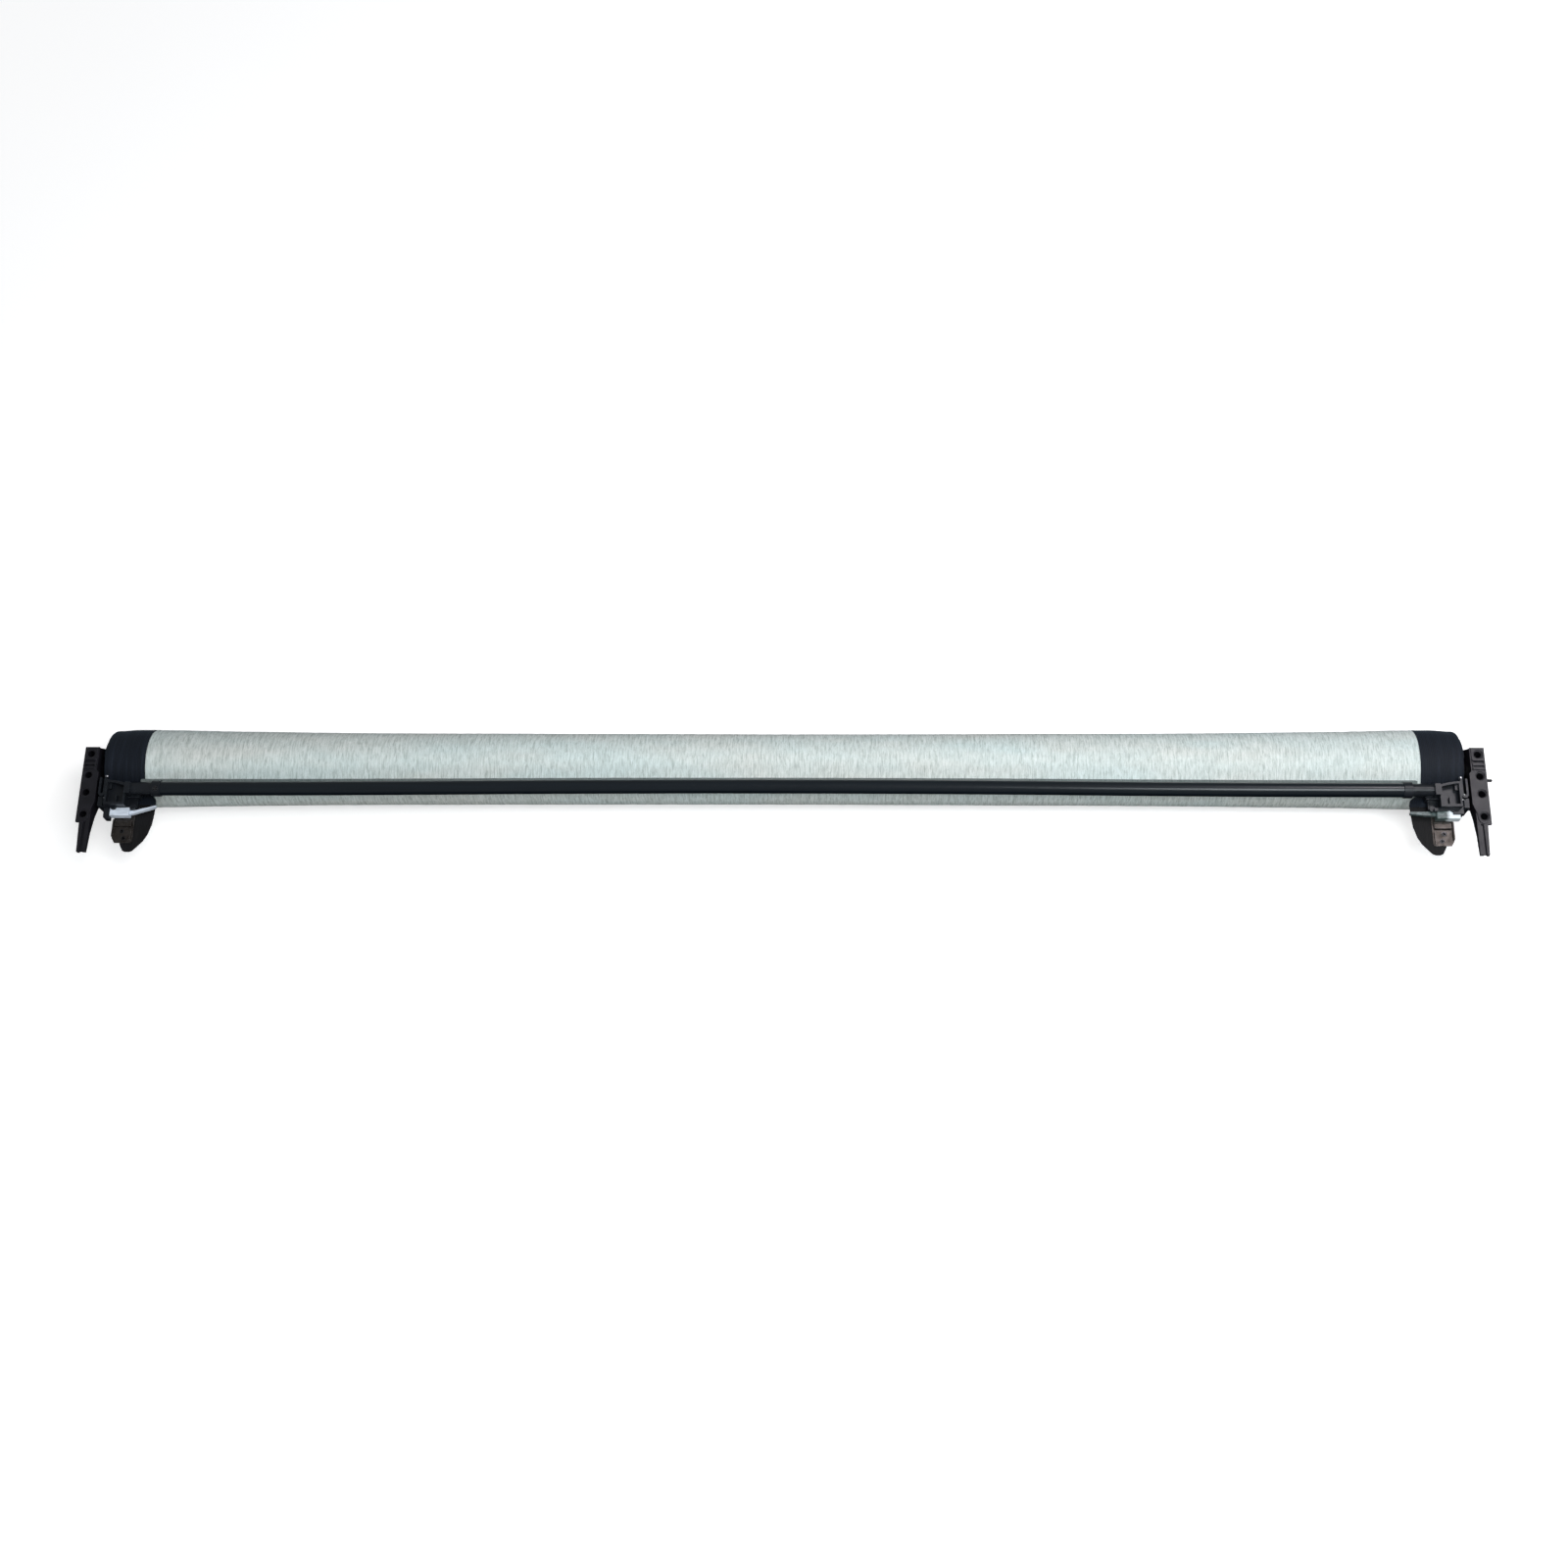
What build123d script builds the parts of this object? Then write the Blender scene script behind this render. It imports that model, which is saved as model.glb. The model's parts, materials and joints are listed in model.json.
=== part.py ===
from build123d import *
import math
import os

# Roof roller blind for a vehicle's panoramic glass roof: a spring-loaded winding tube between two end
# brackets, a light curtain with dark side tapes wound on it, and a pull bar with an end carriage each side.
# Millimetres. +X runs along the winding tube, -Y is the way the pull bar is drawn out, +Z is up.
# Shapes are drawn about the winding axis and moved so that the origin is the centre of the four
# fixing screws on the seating face of the two bracket flanges.

# ---------------- driving dimensions ----------------
AXIS_Y, AXIS_Z = 21.6, -25.0          # winding axis in the part's frame

# winding tube and its inner parts
TUBE_R, TUBE_RI, TUBE_HALF = 15.0, 13.7, 472.0
CORE_R = 3.0                          # spring core rod
SPRING_X0, SPRING_X1 = -437.0, -151.0
SPRING_R, WIRE_R = 6.6, 0.8
COIL_PITCH = 6.5

# curtain: half width, wound radius at the middle and towards its edges
FABRIC_HALF = 443.5
WAIST = [(0, 25.4), (140, 25.7), (278, 26.15), (347, 26.8), (400, 27.5), (430, 28.15), (443.5, 28.3)]
TAPE_HALF = 475.0                     # outer edge of the side tapes
FABRIC_T = 0.9

# pull bar
BAR_R, BAR_RI = 5.0, 4.0
BAR_Y, BAR_Z = -24.65, 26.2           # bar axis at its ends, about the winding axis
BAR_BOW, BOW_HALF = 2.1, 430.0        # the curtain draws the middle of the bar back by this much
BAR_X0, BAR_X1 = -436.0, 436.0

# end brackets (right-hand side; the left is its mirror image)
WEB_X0, WEB_X1 = 477.5, 479.9
FLANGE_X1 = 487.5
FLANGE_Y0, FLANGE_Y1 = -49.8, 6.2     # front and rear ends of the flange
SEAT_Z, FLANGE_Z = 25.0, 27.4         # seating face, and top of the base flange
LAND_Z = 28.2                         # top of the raised land
HOLE_X, HOLE_R = 482.8, 2.5
SLEEVE_R, SLEEVE_Z = 3.9, 15.5          # sleeve round each hole, and its lower end
HOLE_Y = (1.0, -15.0, -28.0, -44.2)   # outer two take screws, inner two take locating dowels
FORK_Y = -71.9                        # tip of the fork that straddles the guide rail's web
AXLE_R, BUSH_R = 3.0, 5.0

# end carriages
CAR_BOTTOM = 17.0
CLEAR_R = 30.0                        # room that the carriages leave round the wound tapes
TONGUE_Z0, TONGUE_Z1 = 14.4, 15.6
CLIP_T = 0.8


# ---------------- helpers ----------------
def box(x0, x1, y0, y1, z0, z1):
    return Pos((x0 + x1) / 2, (y0 + y1) / 2, (z0 + z1) / 2) * Box(abs(x1 - x0), abs(y1 - y0), abs(z1 - z0))


def cyl_x(x0, x1, r, y=0.0, z=0.0):
    return Pos((x0 + x1) / 2, y, z) * Rot(0, 90, 0) * Cylinder(r, abs(x1 - x0))


def cyl_y(y0, y1, r, x=0.0, z=0.0):
    return Pos(x, (y0 + y1) / 2, z) * Rot(90, 0, 0) * Cylinder(r, abs(y1 - y0))


def cyl_z(z0, z1, r, x=0.0, y=0.0):
    return Pos(x, y, (z0 + z1) / 2) * Cylinder(r, abs(z1 - z0))


def ring_x(x0, x1, r, ri, y=0.0, z=0.0):
    return cyl_x(x0, x1, r, y, z) - cyl_x(min(x0, x1) - 1, max(x0, x1) + 1, ri, y, z)


def prism_x(points, x0, x1):
    """A closed outline of (y, z) points, drawn out from x0 to x1."""
    face = make_face(Polyline(*[(x0, y, z) for y, z in points], close=True))
    return extrude(face, amount=abs(x1 - x0), dir=(1 if x1 > x0 else -1, 0, 0))


def prism_z(points, z0, z1):
    """A closed outline of (x, y) points, drawn up from z0 to z1."""
    face = make_face(Polyline(*[(x, y, z0) for x, y in points], close=True))
    return extrude(face, amount=z1 - z0, dir=(0, 0, 1))


def prism_y(points, y0, y1):
    """A closed outline of (x, z) points, drawn along from y0 to y1."""
    face = make_face(Polyline(*[(x, y0, z) for x, z in points], close=True))
    return extrude(face, amount=y1 - y0, dir=(0, 1, 0))


def turned(points):
    """A closed outline of (x, r) points turned about the winding axis."""
    face = make_face(Polyline(*[(x, 0, r) for x, r in points], close=True))
    return revolve(face, Axis.X)


def left(shape):
    return mirror(shape, about=Plane.YZ)


def soften(shape, length, chooser):
    """Fillets the chosen edges, and keeps the sharp shape if they can't be."""
    try:
        return fillet(chooser(shape), length)
    except Exception:
        return shape


made = {}


# ---------------- winding tube ----------------
made["roll_tube"] = ring_x(-TUBE_HALF, TUBE_HALF, TUBE_R, TUBE_RI)
# a shallow flat groove along the tube takes the strip that pins the curtain's inner end
made["roll_tube"] -= box(-FABRIC_HALF + 5, FABRIC_HALF - 5, -3.3, 3.3, TUBE_R - 0.75, TUBE_R + 1)
made["curtain_anchor_strip"] = box(-FABRIC_HALF + 6, FABRIC_HALF - 6, -3.2, 3.2, TUBE_R - 0.75, TUBE_R - 0.40)


def tube_plug(x_in, x_out, bore):
    """Plug pressed into the end of the tube, with a rim that covers the tube's end."""
    sign = 1 if x_out > x_in else -1
    body = cyl_x(x_in, x_out - sign * 2.0, TUBE_RI)
    body += cyl_x(x_out - sign * 2.0, x_out, TUBE_R)
    body -= cyl_x(x_in - sign, x_out + sign, bore)
    # coring between hub and skin, so that the plug moulds evenly
    core = cyl_x(x_in - sign, x_in + sign * 11, TUBE_RI - 1.6) - cyl_x(x_in - sign * 2, x_in + sign * 12, bore + 2.2)
    for a in range(6):
        core -= Rot(60 * a, 0, 0) * box(x_in - sign * 2, x_in + sign * 12, 0, 20, -0.7, 0.7)
    return body - core


made["tube_plug_left"] = tube_plug(-454.0, -TUBE_HALF - 2.0, 5.0)
made["plug_bush_left"] = ring_x(-473.6, -455.0, 5.0, CORE_R + 0.05)
made["tube_plug_right"] = tube_plug(454.0, TUBE_HALF + 2.0, 3.4)
stub = cyl_x(456.0, 486.4, AXLE_R) + cyl_x(456.0, 471.0, 3.4)
made["stub_axle"] = stub
carrier = cyl_x(-150.5, -136.0, TUBE_RI) - cyl_x(-152, -134, CORE_R + 0.05)
carrier -= ring_x(-147.0, -134.0, TUBE_RI - 1.6, 5.6)
carrier -= box(-152, -149.5, 5.3, 7.4, -1.0, 1.0)      # notch for the spring's driving tail
made["spring_carrier_plug"] = carrier

# ---------------- spring, core rod and what holds them ----------------
rod = cyl_x(-485.6, -131.0, CORE_R)
square = box(-490, -476.0, -10, 10, -10, 10) - box(-490, -476.0, -2.1, 2.1, -2.1, 2.1)
rod -= square                                          # square tang that the left bracket keeps from turning
rod -= ring_x(-484.6, -483.8, 4, 1.7)                  # groove for the retaining clip
made["spring_core_rod"] = rod
clip = ring_x(-484.5, -483.9, 4.4, 1.75) - box(-485, -483, -1.6, 1.6, -6, 0)
made["core_rod_clip"] = clip

hub = ring_x(-451.0, -438.0, 5.6, CORE_R)
hub += ring_x(-446.5, -444.5, 8.0, CORE_R)
hub -= box(-443.5, -437, 4.4, 8, -1.0, 1.0)            # slot for the spring's fixed tail
made["spring_anchor_hub"] = hub

# closely wound torsion spring as a ribbed sleeve of its true inner and outer diameters
outline, inner = [], []
n = int((SPRING_X1 - SPRING_X0) / COIL_PITCH)
pitch = (SPRING_X1 - SPRING_X0) / n
for i in range(n):
    x = SPRING_X0 + i * pitch
    outline += [(x, SPRING_R), (x + 0.35 * pitch, SPRING_R + WIRE_R), (x + 0.65 * pitch, SPRING_R + WIRE_R)]
outline.append((SPRING_X1, SPRING_R))
made["torsion_spring"] = turned(outline + [(SPRING_X1, SPRING_R - WIRE_R), (SPRING_X0, SPRING_R - WIRE_R)])
made["spring_flock_sleeve"] = ring_x(SPRING_X0 + 3, SPRING_X1 - 3, 9.4, 8.2)

# ---------------- wound curtain and side tapes ----------------
half = [(x, r) for x, r in WAIST]
pts = [(-x, 0, r) for x, r in reversed(half[1:])] + [(x, 0, r) for x, r in half]
skin = Spline(*pts)
edge = Polyline((FABRIC_HALF, 0, half[-1][1]), (FABRIC_HALF, 0, TUBE_R), (-FABRIC_HALF, 0, TUBE_R), (-FABRIC_HALF, 0, half[-1][1]))
made["curtain_roll"] = revolve(make_face(skin + edge), Axis.X)

tape = [
    (FABRIC_HALF, TUBE_R),
    (FABRIC_HALF, 28.3),
    (448.5, 28.35),
    (460.0, 27.9),
    (470.0, 27.4),
    (473.6, 26.6),
    (475.0, 25.0),
    (TAPE_HALF, TUBE_R),
]
made["tape_roll_right"] = turned(tape)
made["tape_roll_left"] = left(made["tape_roll_right"])


# ---------------- pull bar ----------------
quarter = BOW_HALF / 2
theta = 2 * math.atan(BAR_BOW / 2 / quarter)
bow_r = quarter / math.sin(theta)
deg = math.degrees(theta)
l1 = Line((BAR_X0, BAR_Y, BAR_Z), (-BOW_HALF, BAR_Y, BAR_Z))
a1 = ThreePointArc(
    (-BOW_HALF, BAR_Y, BAR_Z),
    (-BOW_HALF + bow_r * math.sin(theta / 2), BAR_Y + bow_r * (1 - math.cos(theta / 2)), BAR_Z),
    (-quarter, BAR_Y + BAR_BOW / 2, BAR_Z),
)
a2 = ThreePointArc((-quarter, BAR_Y + BAR_BOW / 2, BAR_Z), (0, BAR_Y + BAR_BOW, BAR_Z), (quarter, BAR_Y + BAR_BOW / 2, BAR_Z))
a3 = ThreePointArc(
    (quarter, BAR_Y + BAR_BOW / 2, BAR_Z),
    (BOW_HALF - bow_r * math.sin(theta / 2), BAR_Y + bow_r * (1 - math.cos(theta / 2)), BAR_Z),
    (BOW_HALF, BAR_Y, BAR_Z),
)
l2 = Line((BOW_HALF, BAR_Y, BAR_Z), (BAR_X1, BAR_Y, BAR_Z))
bar_path = Wire([l1, a1, a2, a3, l2])
start_plane = Plane(origin=(BAR_X0, BAR_Y, BAR_Z), x_dir=(0, 1, 0), z_dir=(1, 0, 0))
outer = sweep(start_plane * Circle(BAR_R), path=bar_path)
bore = sweep(start_plane * Circle(BAR_RI), path=bar_path)
made["pull_bar_tube"] = outer - bore


def bow(x):
    """How far the bar's axis stands back from its ends at x."""
    x = abs(x)
    if x >= BOW_HALF:
        return 0.0
    if x >= quarter:
        return bow_r - math.sqrt(bow_r**2 - (BOW_HALF - x) ** 2)
    return BAR_BOW - (bow_r - math.sqrt(bow_r**2 - x**2))


def wound_radius(x):
    """Radius of the wound curtain at x, between the stations of WAIST."""
    x = abs(x)
    for (x0, r0), (x1, r1) in zip(WAIST, WAIST[1:]):
        if x <= x1:
            return r0 + (r1 - r0) * (x - x0) / (x1 - x0)
    return WAIST[-1][1]


def thick_line(points, t):
    """Closed outline of thickness t about a line of (y, z) points."""
    up, down = [], []
    for i, (y, z) in enumerate(points):
        y0, z0 = points[max(0, i - 1)]
        y1, z1 = points[min(len(points) - 1, i + 1)]
        d = math.hypot(y1 - y0, z1 - z0)
        ny, nz = -(z1 - z0) / d, (y1 - y0) / d
        up.append((y + ny * t / 2, z + nz * t / 2))
        down.append((y - ny * t / 2, z - nz * t / 2))
    return up + down[::-1]


def lead_line(x):
    """Run of the curtain from the roll to the underside of the bar, at x."""
    r = wound_radius(x) + 0.25 + FABRIC_T / 2
    cy, cz = BAR_Y + bow(x), BAR_Z
    wy, wz = cy + 2.6, cz - 6.1
    d, a = math.hypot(wy, wz), math.atan2(-wy, wz)
    a1 = a - math.acos(r / d)
    pts = [(-r * math.sin(a1 - math.radians(k)), r * math.cos(a1 - math.radians(k))) for k in (14, 7, 0)]
    return pts + [(wy, wz), (cy + 0.9, cz - BAR_R - 0.12 - FABRIC_T / 2)]


stations = [-440, -400, -330, -215, 0, 215, 330, 400, 440]
sections = [make_face(Polyline(*[(x, y, z) for y, z in thick_line(lead_line(x), FABRIC_T)], close=True)) for x in stations]
lead = loft(sections, ruled=True)
# the corners are cut away round the carriages' sockets
lead -= cyl_x(427.5, 450, 7.4, BAR_Y, BAR_Z)
lead -= cyl_x(-427.5, -450, 7.4, BAR_Y, BAR_Z)
made["curtain_lead"] = lead


# hem: the curtain's front edge folded over a flat strip and bonded under the bar
def hem_line(x, r):
    cy, cz = BAR_Y + bow(x), BAR_Z
    return [(cy + r * math.sin(math.radians(a)), cz - r * math.cos(math.radians(a))) for a in (4, -14, -32, -50, -68)]


sections = []
for x in (-427, -400, -330, -215, 0, 215, 330, 400, 427):
    a = hem_line(x, BAR_R + 0.16)
    b = hem_line(x, BAR_R + 0.16 + 1.3)
    sections.append(make_face(Polyline(*[(x, y, z) for y, z in a + b[::-1]], close=True)))
made["curtain_hem"] = loft(sections, ruled=True)


# ---------------- end brackets ----------------
def bracket():
    web = prism_x(
        [(6.2, 25.2), (12.6, 6.0), (13.4, 0), (11.6, -6.7), (6.7, -11.6), (0, -13.4), (-6.7, -11.6), (-11.6, -6.7),
         (-21.0, 7.6), (-33.2, 8.8), (-34.4, 13.4), (-44.0, 18.6), (-57.0, 22.8), (FORK_Y, 25.0), (FORK_Y, FLANGE_Z),
         (6.2, FLANGE_Z)],
        WEB_X0, WEB_X1,
    )
    b = web + box(WEB_X0, FLANGE_X1, FLANGE_Y0, FLANGE_Y1, SEAT_Z, FLANGE_Z)
    land = prism_z(
        [(478.4, 5.6), (486.6, 5.6), (487.0, -40.0), (486.6, -46.0), (485.0, -48.6), (482.6, -49.6), (480.2, -48.8),
         (478.8, -46.4), (478.6, -43.0), (475.7, -35.5), (475.7, -13.0), (478.4, -10.4)],
        SEAT_Z + 0.6, LAND_Z,
    )
    b += land
    # cross ribs between the first two holes
    for y, h in ((-3.3, 1.0), (-6.7, 0.45), (-10.0, 1.0)):
        b += box(478.6, 486.6, y - 0.55, y + 0.55, FLANGE_Z, LAND_Z + h)
    b -= box(479.0, 486.2, -6.0, -4.0, LAND_Z - 1.1, LAND_Z + 0.2)
    b -= box(479.0, 486.2, -9.3, -7.4, LAND_Z - 1.1, LAND_Z + 0.2)
    # outer tine of the fork, and the thin floor of the groove between it and the web
    b += prism_z([(481.9, -49.2), (484.8, -49.2), (483.9, FORK_Y), (482.2, FORK_Y)], 24.4, FLANGE_Z)
    b += prism_z([(WEB_X1 - 0.2, -49.2), (482.4, -49.2), (482.6, FORK_Y + 0.4), (WEB_X1 - 0.2, FORK_Y + 0.4)], 25.0, 25.7)
    # stiffening ribs under the flange, on the outside of the web, clear of the holes
    for y, z in ((-7.0, 10.5), (-21.5, 10.5), (-36.0, 15.5)):
        b += prism_x([(y - 0.8, SEAT_Z), (y + 0.8, SEAT_Z), (y + 0.8, z), (y - 0.8, z)], WEB_X1, 482.4)
    # bearing boss on the outside of the web, with ribs that spread its load
    b += cyl_x(WEB_X1, 485.0, 7.6)
    for a in (-38, 38, 142, 218):
        b += Rot(a, 0, 0) * box(WEB_X1, 482.6, -0.8, 0.8, 5, 12.6)
    # stop lug for the carriage, low on the inside of the web
    b += box(470.6, WEB_X0, -33.0, -30.0, 9.4, 13.6)
    b += prism_y([(WEB_X0, 9.4), (474.6, 9.4), (WEB_X0, 7.9)], -33.0, -30.0)
    # locating sleeve under each hole, which drops into the roof frame
    for y in HOLE_Y:
        b += cyl_z(SLEEVE_Z, SEAT_Z + 0.5, SLEEVE_R, HOLE_X, y)
    for y in HOLE_Y:
        b -= cyl_z(SLEEVE_Z - 5, LAND_Z + 5, HOLE_R, HOLE_X, y)
        b -= cyl_z(LAND_Z - 0.8, LAND_Z + 5, HOLE_R + 0.9, HOLE_X, y)
    return b


right_bracket = bracket() - cyl_x(470, 490, BUSH_R)
# locating peg on the outer edge of the right-hand flange
right_bracket += cyl_x(FLANGE_X1 - 1.0, 490.2, 1.0, -17.6, 26.2)
right_bracket += Pos(490.2, -17.6, 26.2) * Sphere(1.0)
made["bracket_right"] = right_bracket
left_bracket = left(bracket()) - box(-490, -470, -2.15, 2.15, -2.15, 2.15)
left_bracket -= cyl_x(-483.6, -490, 4.9)                # recess for the retaining clip
made["bracket_left"] = left_bracket
made["axle_bush_right"] = ring_x(WEB_X0 - 1.0, 486.0, BUSH_R, AXLE_R + 0.05) + ring_x(WEB_X0 - 1.0, WEB_X0, 6.6, AXLE_R + 0.05)

# small buffers bonded to the stop lugs
made["stop_buffer_right"] = box(470.8, 474.6, -34.2, -33.0, 9.7, 13.3)
made["stop_buffer_left"] = left(made["stop_buffer_right"])


# ---------------- end carriages ----------------
def carriage(hand):
    rear = [(454.2, -21.8), (459.0, -20.5), (464.5, -19.6), (468.7, -19.2)]
    c = prism_z(rear + [(468.7, -37.6), (454.2, -37.6)], CAR_BOTTOM, 29.6)
    c -= prism_z([(455.6, -23.2), (460.0, -22.0), (464.6, -21.1), (467.4, -20.8), (467.4, -35.9), (455.6, -35.9)], 24.2, 31)
    c += box(460.9, 461.9, -35.9, -29.5, 24.0, 26.6)
    c += box(465.2, 467.4, -25.0, -20.6, 24.0, 27.4)
    # spigot that plugs into the bar, its shoulder, and the block that carries it
    c += cyl_x(418.0, 437.0, BAR_RI - 0.03, BAR_Y, BAR_Z)
    c += cyl_x(436.0, 454.6, 4.4, BAR_Y, BAR_Z)
    c += box(446.0, 454.6, -30.6, -24.6, CAR_BOTTOM, 24.0)
    c += box(450.6, 454.3, -30.0, -22.0, 22.0, 32.4)
    # front shelf, and the two pegs that locate the glide shoe
    c += box(447.6, 454.6, -37.6, -30.0, CAR_BOTTOM, 20.4)
    c += cyl_z(CAR_BOTTOM, 25.0, 1.9, 463.2, -37.8)
    c += cyl_z(CAR_BOTTOM, 23.2, 1.9, 449.7, -37.2)
    # outboard arm, and the leg that meets the stop
    c += box(468.0, 474.2, -37.6, -31.2, CAR_BOTTOM, 24.6)
    c += box(470.9, 474.2, -37.4, -34.2, 9.6, CAR_BOTTOM + 0.5)
    if hand == "left":
        arm = box(466.1, 470.4, -45.8, -37.4, CAR_BOTTOM, 22.4)
        c += soften(arm, 1.8, lambda k: k.edges().filter_by(Axis.Z).filter_by(lambda e: e.center().X > 470 and e.center().Y < -45))
    else:
        # lip along the front, and the block beside the shoe
        c += prism_z([(450.4, -37.3), (463.4, -37.3), (463.4, -38.7), (450.4, -39.7)], 23.7, 25.6)
        c += box(463.4, 470.4, -41.2, -37.3, CAR_BOTTOM, 24.4)
    # seat for the tape clip, with its screw hole
    c += cyl_z(TONGUE_Z1 + CLIP_T, CAR_BOTTOM + 0.2, 3.0, *CLIP_SCREW)
    c -= cyl_z(10, 20.0, 0.9, *CLIP_SCREW)
    c -= cyl_x(430, 480, CLEAR_R)                       # room for the wound tape
    return c


def shoe(hand):
    z0, z1 = CAR_BOTTOM + 0.3, 23.5
    y0 = -43.6 if hand == "left" else -44.2
    x1 = 465.8 if hand == "left" else 468.3
    s = box(452.2, x1, y0, -37.7, z0, z1)
    if hand == "right":
        s -= box(463.3, x1 + 1, -41.3, -36, 0, z1 + 1)
    s = soften(s, 0.6, lambda k: k.edges().filter_by(lambda e: abs(e.center().Z - z1) < 0.01))
    if hand == "left":
        finger = [(453.0, -39.6), (447.6, -38.8), (434.4, -35.3), (434.8, -36.9), (447.6, -40.9), (453.0, -42.2)]
    else:
        finger = [(453.0, -38.5), (447.0, -38.5), (435.2, -38.4), (435.0, -40.1), (447.0, -41.3), (453.0, -41.6)]
    s += prism_z(finger, CAR_BOTTOM + 0.9, 21.0)
    s -= cyl_z(0, 40, 2.05, 463.2, -37.8)
    s -= cyl_z(0, 40, 2.05, 449.7, -37.2)
    return s


CLIP_SCREW = (459.8, -34.0)
made["carriage_right"] = carriage("right")
left_car = left(carriage("left"))
made["glide_shoe_right"] = shoe("right")
made["glide_shoe_left"] = left(shoe("left"))


def side_spring():
    """U-shaped leaf that presses the carriage sideways in its guide rail."""
    u = prism_z([(468.8, -17.0), (468.8, -29.2), (469.7, -30.7), (471.2, -31.1), (472.7, -30.7), (473.6, -29.2), (473.6, -17.4)], 25.0, 29.0)
    u -= prism_z([(470.2, -16.0), (470.2, -28.5), (470.7, -29.3), (471.7, -29.3), (472.2, -28.5), (472.2, -16.0)], 24.0, 30.0)
    u += box(470.8, 474.0, -37.4, -30.8, 24.6, 26.2)
    u -= cyl_y(-20.4, -15, 0.75, 469.5, 27.3)
    u -= cyl_x(460, 480, CLEAR_R)
    return u


made["side_spring_right"] = side_spring()
made["side_spring_left"] = left(side_spring())
pin = cyl_y(-20.3, -16.8, 0.7, 469.5, 27.3)
pin += cyl_y(-16.8, -15.6, 1.3, 469.5, 27.3)
pin -= cyl_x(460, 480, CLEAR_R)
made["side_spring_pin_right"] = pin
made["side_spring_pin_left"] = left(pin)


# ---------------- front ends of the side tapes ----------------
RIVETS = ((457.7, -53.0), (456.0, -58.3))
Z0, Z1, Z2 = TONGUE_Z0, TONGUE_Z1, TONGUE_Z1 + CLIP_T

# pressed steel clip with a raised step, a turned-up outer edge and a small lug
c = prism_z([(449.9, -31.0), (463.4, -31.0), (464.5, -42.0), (464.5, -58.0), (462.4, -61.6), (451.0, -61.6), (449.9, -60.4)], Z1, Z2)
hat = prism_x([(-44.8, Z1), (-46.0, Z2 + 1.7), (-49.4, Z2 + 1.7), (-50.6, Z1)], 451.2, 462.8)
hat -= prism_x([(-45.6, Z1 - 1), (-46.6, Z2 + 0.9), (-48.8, Z2 + 0.9), (-49.8, Z1 - 1)], 440, 470)
c = c - box(451.2, 462.8, -50.4, -45.0, Z1 - 1, Z2 + 0.1)
c += hat
c += box(463.7, 464.5, -57.4, -44.9, Z1, Z2 + 2.0)
c += prism_y([(451.0, Z1), (451.8, Z1), (451.8, Z2 + 1.0), (451.0, Z2 + 1.0)], -60.6, -51.6)
tongue = prism_z(
    [(436.5, -33.0), (436.8, -40.0), (437.6, -47.5), (439.8, -55.0), (442.6, -60.0), (446.2, -64.0), (449.4, -67.2),
     (451.4, -67.9), (454.4, -67.9), (456.4, -66.9), (458.6, -62.6), (460.6, -56.5), (462.8, -48.0), (463.6, -40.0), (463.6, -31.0),
     (436.5, -31.0)],
    Z0, Z1,
)
rivets = Part()
for x, y in RIVETS:
    c -= cyl_z(10, 20, 1.15, x, y)
    tongue -= cyl_z(10, 20, 1.15, x, y)
    # semi-tubular rivet: closed below, hollow and rolled over above
    rivets += cyl_z(Z0 - 0.4, Z2 + 0.3, 1.15, x, y) + cyl_z(Z0 - 0.4, Z0, 1.75, x, y) + cyl_z(Z2, Z2 + 0.3, 1.6, x, y)
    rivets -= cyl_z(Z0 + 0.2, 20, 0.85, x, y)
c -= cyl_z(10, 20, 0.9, *CLIP_SCREW)
tongue -= cyl_z(10, 20, 0.9, *CLIP_SCREW)
screw = cyl_z(Z0 - 0.8, 20.0, 0.9, *CLIP_SCREW) + cyl_z(Z0 - 0.8, Z0, 1.8, *CLIP_SCREW)
made["tape_clip_right"] = c
made["tape_clip_left"] = left(c)
made["clip_rivets_right"] = rivets
made["clip_rivets_left"] = left(rivets)
made["clip_screw_right"] = screw
made["clip_screw_left"] = left(screw)
made["tape_tongue_right"] = tongue
made["tape_tongue_left"] = left(tongue)

# side tapes between the roll and the tongues: round the roll, then forward under the carriage
r = 28.35 + 0.2 + 0.5
arc = [(-r * math.sin(math.radians(a)), r * math.cos(math.radians(a))) for a in (20, 30, 40, 50, 56)]
tape_run = arc + [(-26.6, 15.0), (-31.0, 15.0)]
made["tape_lead_right"] = prism_x(thick_line(tape_run, 1.0), 444.5, 470.0)
made["tape_lead_left"] = left(made["tape_lead_right"])

# welt: the hem's folded-back edge stands up behind the bar and leans over the roll
WELT_TILT = 36.7


def welt_line(x):
    """Foot on the run of the curtain, then the leaning lip, at x; straighter than the bar."""
    cy, cz = BAR_Y + 6.57 + 0.62 * bow(x), 24.25
    c, s = 1.3 * math.cos(math.radians(WELT_TILT)), 1.3 * math.sin(math.radians(WELT_TILT))
    (y0, z0), (y1, z1) = lead_line(x)[2:4]
    yf = cy - c - 0.2
    slope = (z1 - z0) / (y1 - y0)
    zf = z0 + slope * (yf - y0) + FABRIC_T / 2 * math.hypot(1, slope) + 0.45 * slope + 0.04
    return [(yf, zf), (cy - c, cz - s), (cy + c, cz + s)]


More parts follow.
